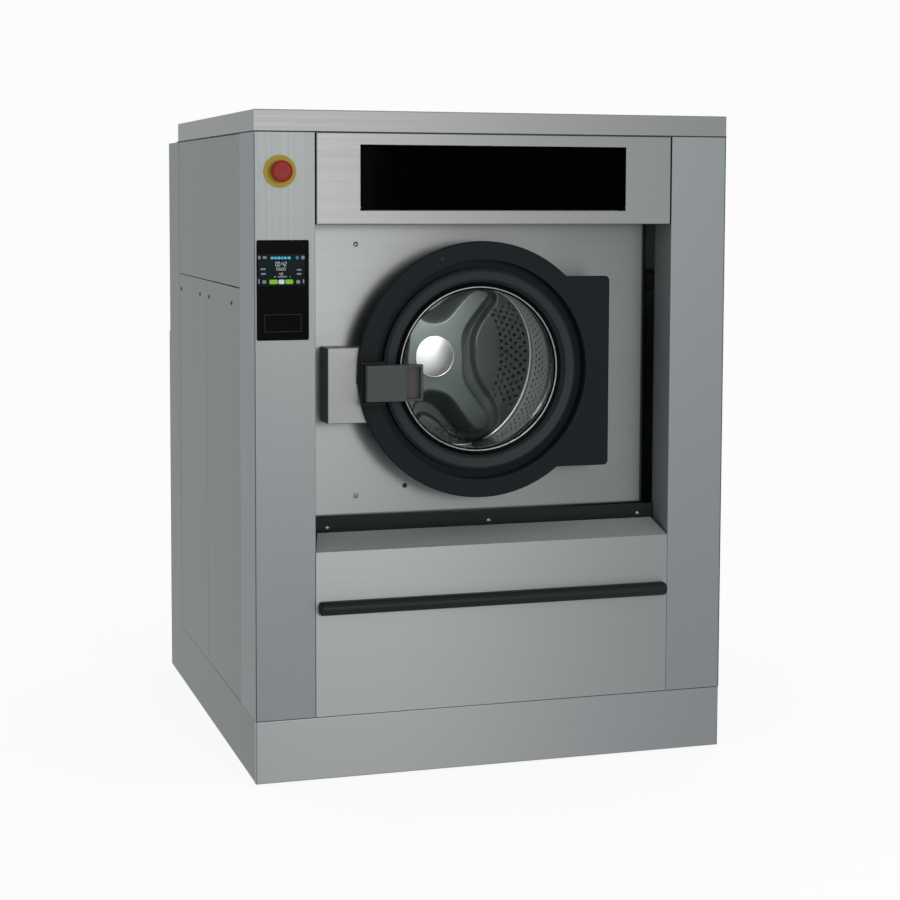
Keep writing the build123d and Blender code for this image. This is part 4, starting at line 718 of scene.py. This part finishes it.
points, faces = perforated(
    barrel_columns, barrel_rows, barrel_steps, barrel_point, barrel_holed, barrel_hole
)
drum_barrel = piece("drum_barrel", points, faces, barrel_painted_light_steel, "drum", "drum_steel", 60)
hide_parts("drum_shell")
thicken(drum_barrel, drum_sheet)

lip_section = wire_section(lip_radius, drum_front, lip_wire)
drum_lip = piece("drum_rolled_lip", *lathe(lip_section, drum_flats), drum_steel, "drum", "drum_steel")
plate_outline = (
    (lip_radius, drum_front - drum_sheet),
    (drum_inner + drum_sheet, drum_front - drum_sheet),
    (drum_inner + drum_sheet, drum_front),
    (lip_radius, drum_front),
)
points, faces = lathe(plate_outline, drum_flats)
drum_front_plate = piece("drum_front_plate", points, faces, drum_steel, "drum", "drum_steel")
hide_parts("drum_shell")
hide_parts("drum_shell")

# Painted highlight: the rim bead, pressed in the same sheet as the drum back, takes the hub cap's bright
# polished stainless
bead_section = wire_section(bead_radius, bead_plane, bead_wire)
drum_bead = piece("drum_rim_bead", *lathe(bead_section, bead_flats), hub_and_bead_highlight_steel, "drum", "drum_steel")
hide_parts("drum_back")

cap_outline = [
    (hub_cap_radius * step / hub_cap_steps, hub_cap_plane + hub_cap_dome * (step / hub_cap_steps) ** 2)
    for step in range(hub_cap_steps + 1)
]
cap_outline += [
    (hub_cap_radius + hub_cap_edge, hub_cap_plane + hub_cap_wall),
    (hub_cap_radius + hub_cap_edge, star_plane + hub_cap_seat),
]
points, faces = lathe(cap_outline, drum_flats, closed=False)
drum_hub_cap = piece("drum_hub_cap", points, faces, hub_and_bead_highlight_steel, "drum", "drum_steel", 20)
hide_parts("drum_back")

# Springs: a copy of the springs' mesh, with its placing baked into it

spring_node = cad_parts["springs"]
tub_springs = add_object("tub_springs", spring_node.data.copy())
tub_springs.matrix_world = spring_node.matrix_world.copy()
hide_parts("springs")
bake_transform(tub_springs)

# Screws: domed heads with a cross recess in place of each plain head


def islands(node):
    """The lowest and highest corners of each separate solid of a node, in metres."""
    shape = bmesh.new()
    shape.from_mesh(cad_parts[node].data)
    bmesh.ops.remove_doubles(shape, verts=shape.verts, dist=0.01 * MM)
    left, found = set(shape.verts), []
    while left:
        group, edge = set(), [left.pop()]
        while edge:
            vertex = edge.pop()
            group.add(vertex)
            for link in vertex.link_edges:
                other = link.other_vert(vertex)
                if other in left:
                    left.discard(other)
                    edge.append(other)
        corners = [[f(v.co[axis] for v in group) for axis in range(3)] for f in (min, max)]
        found.append((Vector(corners[0]), Vector(corners[1])))
    shape.free()
    return sorted(found, key=lambda pair: tuple(round(c, 4) for c in pair[0]))


def screw_head(seat, outward, points, faces):
    """Adds one head to points and faces: a dome on a face, with a cross pressed into it."""
    side = Vector((0, 0, 1))
    other = outward.cross(side)
    around = screw_flats
    first = len(points)
    for radius in screw_rings:
        for step in range(around):
            angle = 2 * pi * step / around
            u, v = radius * cos(angle), radius * sin(angle)
            height = screw_dome * (1 - (radius / screw_radius) ** 2) ** 0.5 if radius < screw_radius else 0
            if radius < recess_reach and min(abs(u), abs(v)) <= recess_half:
                height -= recess_depth
            points.append(seat + (side * u + other * v + outward * height) * MM)
    for ring in range(len(screw_rings) - 1):
        for step in range(around):
            here, there = first + ring * around, first + (ring + 1) * around
            after = (step + 1) % around
            faces.append((here + step, here + after, there + after, there + step))
    faces.append([first + step for step in range(around)])
    faces.append([first + (len(screw_rings) - 1) * around + step for step in range(around)])


def screws_for(node, name, material, body, keep):
    """Cross-recess heads in place of the node's heads that keep chooses by their middle."""
    points, faces = [], []
    for low, high in islands(node):
        middle = (low + high) / 2
        if not keep(middle):
            continue
        thin = min(range(3), key=lambda axis: high[axis] - low[axis])
        outward = Vector((0, 0, 0))
        outward[thin] = -1 if thin == 1 or middle[thin] < 0 else 1
        seat = middle.copy()
        seat[thin] = low[thin] if outward[thin] > 0 else high[thin]
        screw_head(seat, outward, points, faces)
    made = piece(name, points, faces, material, body, "screw_steel", 25)
    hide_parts(node)
    return made


def on_side(middle):
    """True of a cabinet screw on a side panel, whose head is dark."""
    return abs(middle.x) >= (half_width - side_screw_band) * MM


def bright_on_panel(middle):
    """True of the door panel's screws at the left, whose heads are bright."""
    return middle.x < bright_screw_reach * MM


screws_for("cabinet_screws", "cabinet_cross_screws", screw_steel, "cabinet", lambda m: not on_side(m))
screws_for("cabinet_screws", "side_dark_screws", dark_screw, "cabinet", on_side)
screws_for("panel_screws", "panel_cross_screws", screw_steel, "tub", bright_on_panel)
screws_for("panel_screws", "panel_dark_screw", dark_screw, "tub", lambda m: not bright_on_panel(m))

# Stop button: mushroom head with a rolled edge and a shallow dished face

head_low, head_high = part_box("estop_head")
head_centre = ((head_low.x + head_high.x) / 2 / MM, (head_low.z + head_high.z) / 2 / MM)
head_radius = (head_high.x - head_low.x) / 2 / MM
head_front = depth_of(head_low.y)
head_rear = depth_of(head_high.y)
head_outline = [(head_radius * share, head_front + behind) for share, behind in stop_face]
head_outline += [
    (head_radius, head_rear - stop_hem_tall),
    (head_radius - stop_hem_wide, head_rear),
    (stop_bore, head_rear),
]
points, faces = lathe(head_outline, stop_flats, closed=False, centre=head_centre)
stop_head = piece("stop_mushroom_head", points, faces, red_abs, "stop_head", "red_head")
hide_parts("estop_head")

# Door trim: a bright wire bead on the dark lip that holds the glass

trim_low, trim_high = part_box("door_trim_ring")
lip_outer = (trim_high.x - trim_low.x) / 2 / MM
lip_back = depth_of(trim_high.y)
lip_face = lip_back - glass_lip_tall
dark_lip_outline = (
    (lip_outer, lip_back),
    (glass_lip_radius, lip_back),
    (glass_lip_radius, lip_back - glass_lip_wall),
    (glass_lip_radius + glass_lip_bevel, lip_face),
    (lip_outer, lip_face - glass_lip_crown),
)
points, faces = lathe(dark_lip_outline, door_flats)
door_glass_lip = piece("door_glass_lip", points, faces, black_abs, "door", "seal_rubber")
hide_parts("door_trim_ring")
trim_outline = wire_section(trim_wire_radius, lip_face - trim_wire_sink, trim_wire)
door_trim_wire = piece("door_trim_wire", *lathe(trim_outline, door_flats), trim_steel, "door", "bright_trim")
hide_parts("door_trim_ring")

# Door glass: a pressed bowl with one smooth curve from its neck to its floor

glass_low, glass_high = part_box("door_glass")
rim_face, glass_floor = depth_of(glass_low.y), depth_of(glass_high.y)
rim_back = rim_face + glass_thick


def bowl(neck, floor, turns):
    """Points of the bowl's curve at the turns, of which 0 is its floor's middle and pi / 2 its neck."""
    return [
        (neck * sin(turn) ** (2 / bowl_power), rim_face + (floor - rim_face) * cos(turn) ** (2 / bowl_power))
        for turn in turns
    ]


bowl_turns = [pi / 2 * step / bowl_steps for step in range(bowl_steps + 1)]
outside = bowl(neck_radius + glass_thick, glass_floor, bowl_turns[:-1])
glass_outline = [(radius, depth) for radius, depth in outside if depth > rim_back]
glass_outline += [(neck_radius + glass_thick, rim_back), (lip_outer, rim_back), (lip_outer, rim_face)]
glass_outline += bowl(neck_radius, glass_floor - glass_thick, reversed(bowl_turns))
points, faces = lathe(glass_outline, door_flats, closed=False)
door_glass_bowl = piece("door_glass_bowl", points, faces, clear_glass, "door", "porthole_glass", 50)
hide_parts("door_glass")

# Door ring: the small plug near its top

plug_turn = radians(plug_angle)
plug_centre = (axis_x + plug_circle * cos(plug_turn), axis_z + plug_circle * sin(plug_turn))
door_front = depth_of(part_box("door_frame")[0].y)
plug_outline = (
    (0, door_front - plug_proud),
    (plug_radius * plug_shoulder_share, door_front - plug_shoulder),
    (plug_radius, door_front),
)
points, faces = lathe(plug_outline, plug_flats, closed=False, centre=plug_centre)
piece("door_ring_plug", points, faces, ring_paint, "door", "dark_casting")


# Touch panel: what the screen shows, and the thin outline of the bare plate below it


def bars(name, spans, depth, thickness, material, body, slot):
    """One piece of flat bars with cut corners, each given as (left, right, low, high), on a depth."""
    points, faces = [], []
    for left, right, low, high in spans:
        cut = bar_corner_share * min(right - left, high - low)
        outline = (
            (left + cut, low),
            (right - cut, low),
            (right, low + cut),
            (right, high - cut),
            (right - cut, high),
            (left + cut, high),
            (left, high - cut),
            (left, low + cut),
        )
        first, count = len(points), len(outline)
        for level in (depth, depth - thickness):
            points += [at(x, level, z) for x, z in outline]
        faces.append([first + i for i in range(count)])
        faces.append([first + count + i for i in range(count)])
        for i in range(count):
            j = (i + 1) % count
            faces.append((first + i, first + j, first + count + j, first + count + i))
    return piece(name, points, faces, material, body, slot)


def span_on(box, left, right, foot, head):
    """A bar in millimetres on the front of a box of the frame, from shares of its width and height."""
    low, high = box
    wide, tall = (high.x - low.x) / MM, (high.z - low.z) / MM
    across = (low.x / MM + left * wide, low.x / MM + right * wide)
    return (*across, low.z / MM + foot * tall, low.z / MM + head * tall)


segment_shares = {
    "top": (0.12, 0.88, 0.9, 1.0),
    "middle": (0.12, 0.88, 0.45, 0.55),
    "bottom": (0.12, 0.88, 0.0, 0.1),
    "upper_left": (0.0, 0.16, 0.52, 0.93),
    "upper_right": (0.84, 1.0, 0.52, 0.93),
    "lower_left": (0.0, 0.16, 0.07, 0.48),
    "lower_right": (0.84, 1.0, 0.07, 0.48),
}
digit_segments = {
    "0": ("top", "bottom", "upper_left", "upper_right", "lower_left", "lower_right"),
    "2": ("top", "middle", "bottom", "upper_right", "lower_left"),
    "4": ("middle", "upper_left", "upper_right", "lower_right"),
    "6": ("top", "middle", "bottom", "upper_left", "lower_left", "lower_right"),
}
digit_wide_share = 0.78
colon_wide_share = 0.5
dot_half_share = 0.07
dot_tall_share = 0.12
dot_foot_shares = (0.3, 0.65)


def number_shares(text, left, right, low, high):
    """Seven-segment bars for a number that fills a box of the screen; a colon takes half a digit."""
    widths = [colon_wide_share if mark == ":" else 1.0 for mark in text]
    unit = (right - left) / sum(widths)
    tall = high - low
    found, start = [], left
    for mark, width in zip(text, widths):
        if mark == ":":
            middle, half = start + unit * width / 2, dot_half_share * unit
            for foot_share in dot_foot_shares:
                foot = low + foot_share * tall
                found.append((middle - half, middle + half, foot, foot + dot_tall_share * tall))
        else:
            wide = unit * digit_wide_share
            for segment in digit_segments[mark]:
                from_left, to_right, from_foot, to_head = segment_shares[segment]
                across = (start + from_left * wide, start + to_right * wide)
                found.append((*across, low + from_foot * tall, low + to_head * tall))
        start += unit * width
    return found


readout_shares = (
    number_shares("00:42", 0.37, 0.62, 0.62, 0.76)
    + number_shares("0600", 0.39, 0.6, 0.49, 0.575)
    + number_shares("40", 0.45, 0.54, 0.33, 0.42)
)
title_shares = [
    (left, left + wide, 0.845, 0.925)
    for left, wide in ((0.27, 0.06), (0.345, 0.05), (0.41, 0.07), (0.495, 0.04), (0.55, 0.06), (0.63, 0.07))
]
tag_shares = (
    (0.0, 0.05, 0.85, 0.95),
    (0.1, 0.18, 0.86, 0.94),
    (0.93, 1.0, 0.84, 0.95),
    (0.05, 0.16, 0.51, 0.56),
    (0.06, 0.16, 0.36, 0.41),
    (0.83, 0.93, 0.48, 0.53),
    (0.83, 0.93, 0.35, 0.4),
    (0.34, 0.38, 0.27, 0.31),
    (0.42, 0.62, 0.27, 0.31),
    (0.68, 0.7, 0.27, 0.31),
    (0.0, 0.03, 0.08, 0.22),
    (0.09, 0.17, 0.08, 0.18),
    (0.82, 0.9, 0.07, 0.18),
    (0.96, 0.99, 0.08, 0.2),
)
blue_shares = ((0.81, 0.87, 0.84, 0.94), (0.425, 0.435, 0.06, 0.19), (0.57, 0.585, 0.06, 0.19))
key_shares = ((0.24, 0.415, 0.06, 0.2), (0.59, 0.75, 0.06, 0.2))
white_key_shares = ((0.44, 0.56, 0.06, 0.2),)
picture = (
    ("screen_title_bar", title_shares, lcd_cyan),
    ("screen_readout", readout_shares, lcd_white),
    ("screen_tags", tag_shares, lcd_grey),
    ("screen_blue_marks", blue_shares, lcd_blue),
    ("screen_green_keys", key_shares, lcd_green),
    ("screen_white_key", white_key_shares, lcd_white),
)
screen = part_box("touch_screen")
for name, shares, material in picture:
    spans = [span_on(screen, *share) for share in shares]
    bars(name, spans, depth_of(screen[0].y), mark_thick, material, "cabinet", "screen_face")


def outline_bars(left, right, low, high, line):
    """The four sides of a rectangle drawn with a line."""
    return (
        (left, right, low, low + line),
        (left, right, high - line, high),
        (left, left + line, low + line, high - line),
        (right - line, right, low + line, high - line),
    )


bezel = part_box("touch_bezel")
plate_sides = outline_bars(*span_on(bezel, *plate_shares), plate_line)
bezel_face = depth_of(bezel[0].y)
bars("bezel_plate_outline", plate_sides, bezel_face, plate_line_thick, ring_paint, "cabinet", "black_plastic")

# Handle: raised rim round the finger pocket, mauve panel in it, and the outline of the bare label place

lever_low, lever_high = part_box("handle_lever")
lever_right, lever_foot, lever_head = lever_high.x / MM, lever_low.z / MM, lever_high.z / MM
lever_left = lever_low.x / MM
lever_face = depth_of(lever_low.y)
pocket_left = lever_right - pocket_reach
pocket_right = lever_right - pocket_end
pocket_foot = lever_foot + pocket_edge
pocket_head = lever_head - pocket_edge
pocket_floor = lever_face + pocket_deep
rim_sides = outline_bars(
    pocket_left - pocket_rim,
    pocket_right + pocket_rim,
    pocket_foot - pocket_rim,
    pocket_head + pocket_rim,
    pocket_rim_line,
)
panel_span = (
    pocket_left + pocket_panel_gap,
    pocket_right - pocket_panel_end,
    pocket_foot + pocket_panel_gap,
    pocket_head - pocket_panel_gap,
)
label_sides = outline_bars(
    *(lever_left + across for across in label_across), *(lever_foot + up for up in label_up), label_line
)
on_handle = ("handle", "handle_plastic")
bars("handle_pocket_rim", rim_sides, lever_face, pocket_rim_thick, handle_plastic, *on_handle)
bars("handle_pocket_panel", (panel_span,), pocket_floor, pocket_panel_thick, pocket_plastic, *on_handle)
bars("handle_label_outline", label_sides, lever_face, label_line_thick, pocket_plastic, *on_handle)

# Cabinet joints and painted light and shade: a dark strip of painted shade along the gap under the cover,
# thin lighter matt faces of painted light over the ledge and the recess walls, and dark strips of painted
# shade on the folds of the two front columns

cover_low, cover_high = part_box("top_cover")
cover_left, cover_right = cover_low.x / MM, cover_high.x / MM
joint_foot = cover_low.z / MM - joint_tall / 2
joint_end = cover_long_share * depth_of(cover_high.y)
joint_outline = (
    (cover_left - joint_proud, joint_end),
    (cover_left - joint_proud, -joint_proud),
    (cover_right + joint_proud, -joint_proud),
    (cover_right + joint_proud, joint_end),
    (cover_right - joint_deep, joint_end),
    (cover_right - joint_deep, joint_deep),
    (cover_left + joint_deep, joint_deep),
    (cover_left + joint_deep, joint_end),
)
count = len(joint_outline)
points = [at(x, depth, joint_foot + level) for level in (0, joint_tall) for x, depth in joint_outline]
faces = [(i, (i + 1) % count, count + (i + 1) % count, count + i) for i in range(count)]
faces += [(0, 1, 6, 7), (1, 2, 5, 6), (2, 3, 4, 5), (8, 9, 14, 15), (9, 10, 13, 14), (10, 11, 12, 13)]
piece("cover_gap_shade_strip", points, faces, gap_shade_material, "cabinet", "seal_rubber")

# Painted light on the ledge: a thin lighter matt face over its top
ledge_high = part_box("lower_front_panel")[1]
ledge_half = ledge_high.x / MM
ledge_back = depth_of(ledge_high.y)
ledge_top = ledge_high.z / MM
ledge_corners = (
    (-ledge_half, 0, ledge_top - ledge_fall),
    (ledge_half, 0, ledge_top - ledge_fall),
    (ledge_half - ledge_taper, ledge_back, ledge_top),
    (ledge_taper - ledge_half, ledge_back, ledge_top),
)
points = [at(x, depth, z + level) for level in (0, painted_light_thick) for x, depth, z in ledge_corners]
faces = [(0, 1, 2, 3), (4, 5, 6, 7), (0, 1, 5, 4), (1, 2, 6, 5), (2, 3, 7, 6), (3, 0, 4, 7)]
piece("ledge_painted_light_face", points, faces, ledge_painted_light_steel, "cabinet", "stainless_skin")

# Painted light on the recess walls: thin lighter matt faces over both
wall_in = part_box("right_column")[0].x / MM
wall_levels = (ledge_top - ledge_fall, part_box("fascia_panel")[0].z / MM)
wall_faces = ((0, 1, 3, 2), (4, 5, 7, 6), (0, 1, 5, 4), (2, 3, 7, 6), (0, 2, 6, 4), (1, 3, 7, 5))
points, faces = [], []
for inner, outer in ((wall_in - painted_light_thick, wall_in), (-wall_in, painted_light_thick - wall_in)):
    start = len(points)
    points += [at(x, depth, z) for x in (inner, outer) for depth in wall_depths for z in wall_levels]
    faces += [[start + corner for corner in face] for face in wall_faces]
piece("recess_painted_light_walls", points, faces, recess_painted_light_steel, "cabinet", "stainless_skin")

# Painted shade on the column folds: dark strips down both front corners
column_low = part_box("left_column")[0]
fold_spans = [
    (side - fold_wide / 2, side + fold_wide / 2, column_low.z / MM, joint_foot)
    for side in (column_low.x / MM + fold_wide / 2, -column_low.x / MM - fold_wide / 2)
]
bars("column_fold_shade_strips", fold_spans, 0, fold_thick, fold_shade_steel, "cabinet", "stainless_skin")

# Back panels: rows of screws along their edges


def back_screws():
    """Screws in rows across the back; the row at the waist has only its two ends."""
    panel_low, panel_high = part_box("back_panels")
    low_face, high_face = panel_high.y, panel_high.y - rear_step * MM
    half = min(panel_high.x, -panel_low.x) - (rear_side + rear_inset) * MM
    whole_row = (-1, -0.5, 0, 0.5, 1)
    rows = (
        (low_face, panel_low.z + rear_inset * MM, whole_row),
        (low_face, rear_waist * MM, (-1, 1)),
        (low_face, (rear_joint[0] - rear_inset) * MM, whole_row),
        (high_face, (rear_joint[1] + rear_inset) * MM, whole_row),
        (high_face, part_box("rear_corners")[1].z - rear_top_inset * MM, whole_row),
    )
    points, faces = [], []
    for face, height, shares in rows:
        for share in shares:
            screw_head(Vector((share * half, face, height)), Vector((0, 1, 0)), points, faces)
    return piece("back_panel_screws", points, faces, screw_steel, "cabinet", "screw_steel", 25)


back_screws()


# Camera


def place_camera():
    """The camera at its place, turned by its yaw, then its pitch, then its roll."""
    yaw, pitch, roll = radians(camera_yaw), radians(camera_pitch), radians(camera_roll)
    right = Vector((cos(yaw), -sin(yaw), 0))
    level = Vector((sin(yaw), cos(yaw), 0))
    up = Vector((0, 0, 1))
    forward = level * cos(pitch) - up * sin(pitch)
    upward = up * cos(pitch) + level * sin(pitch)
    across = right * cos(roll) + upward * sin(roll)
    along = upward * cos(roll) - right * sin(roll)
    turn = Matrix((across, along, -forward)).transposed().to_4x4()
    data = bpy.data.cameras.new("camera")
    data.lens = camera_lens
    data.sensor_width = camera_sensor
    data.sensor_fit = "HORIZONTAL"
    data.shift_x, data.shift_y = camera_shift
    camera = add_object("camera", data)
    camera.matrix_world = Matrix.Translation(Vector(camera_place) * MM) @ turn
    bpy.context.scene.camera = camera


place_camera()


# Floor, world and lamps


def seen_directly(tree):
    """One for rays from the camera and for those in gloss and glass, and zero for all other light."""
    path = add_node(tree, "ShaderNodeLightPath")
    seen = path.outputs["Is Camera Ray"]
    for kind in ("Is Glossy Ray", "Is Transmission Ray"):
        either = {0: seen, 1: path.outputs[kind]}
        seen = add_node(tree, "ShaderNodeMath", links=either, operation="MAXIMUM").outputs["Value"]
    return seen


def pale_floor():
    """A seamless paper floor: matt and near white, with the machine's shadow left faint on it."""
    material, tree, shader = finish("seamless_paper", "#f2f2f1", metallic=0.0, roughness=0.9)
    paper = grain(tree, (paper_mottle,) * 3)
    vary(tree, shader, paper, ("#f0f0ef", "#f3f3f2"), (0.88, 0.92))
    glow = add_node(tree, "ShaderNodeEmission", {"Color": linear(white_seen), "Strength": floor_glow})
    share = add_node(
        tree, "ShaderNodeMath", {1: floor_glow_share}, {0: seen_directly(tree)}, operation="MULTIPLY"
    )
    mix_shaders(tree, share.outputs["Value"], shader, glow, tree.nodes["Material Output"].inputs["Surface"])
    mesh = bpy.data.meshes.new("floor")
    quarters = ((-1, -1), (1, -1), (1, 1), (-1, 1))
    corners = [(x * stage_half * MM, y * stage_half * MM, 0) for x, y in quarters]
    mesh.from_pydata(corners, [], [(0, 1, 2, 3)])
    mesh.materials.append(material)
    floor = add_object("floor", mesh)


def studio_world():
    """Soft even light from all round, with a white background for what looks straight at it."""
    world = bpy.data.worlds.new("studio")
    bpy.context.scene.world = world
    world.use_nodes = True
    tree = world.node_tree
    tree.nodes.clear()
    soft = add_node(tree, "ShaderNodeBackground", {"Color": linear("#f6f8f8"), "Strength": world_light})
    seen = add_node(tree, "ShaderNodeBackground", {"Color": linear(white_seen), "Strength": 1.0})
    surface = add_node(tree, "ShaderNodeOutputWorld").inputs["Surface"]
    mix_shaders(tree, seen_directly(tree), soft, seen, surface)


def softbox(name, place, aim, size, power):
    """A flat lamp of even light at its place, which faces its aim; glass doesn't show it."""
    data = bpy.data.lights.new(name, "AREA")
    data.shape = "RECTANGLE"
    data.size, data.size_y = (side * MM for side in size)
    data.energy = power
    data.color = linear(lamp_white)[:3]
    lamp = add_object(name, data)
    lamp.location = [along * MM for along in place]
    towards = Vector([along * MM for along in aim]) - lamp.location
    lamp.rotation_euler = towards.to_track_quat("-Z", "Y").to_euler()
    lamp.visible_transmission = False
    return lamp


def flag_off(lamp, nodes):
    """Keeps a lamp's light to some nodes, as a card set between the lamp and the rest would."""
    lit = bpy.data.collections.new(lamp.name + "_reach")
    for node in nodes:
        lit.objects.link(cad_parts[node])
    lamp.light_linking.receiver_collection = lit


pale_floor()
studio_world()
softbox("key_softbox", *key_lamp)
flag_off(softbox("low_softbox", *low_lamp), ("lower_front_panel", "plinth_front", "bumper_bar"))
flag_off(softbox("panel_softbox", *panel_lamp), ("door_panel",))
fill_place = (axis_x + fill_right, front_plane + drum_front + fill_deep, axis_z + fill_rise)
fill_aim = (axis_x + fill_aim_right, front_plane + back_plane, axis_z - fill_aim_drop)
softbox("drum_fill", fill_place, fill_aim, fill_size, fill_power)
bpy.context.scene.view_settings.view_transform = "Standard"
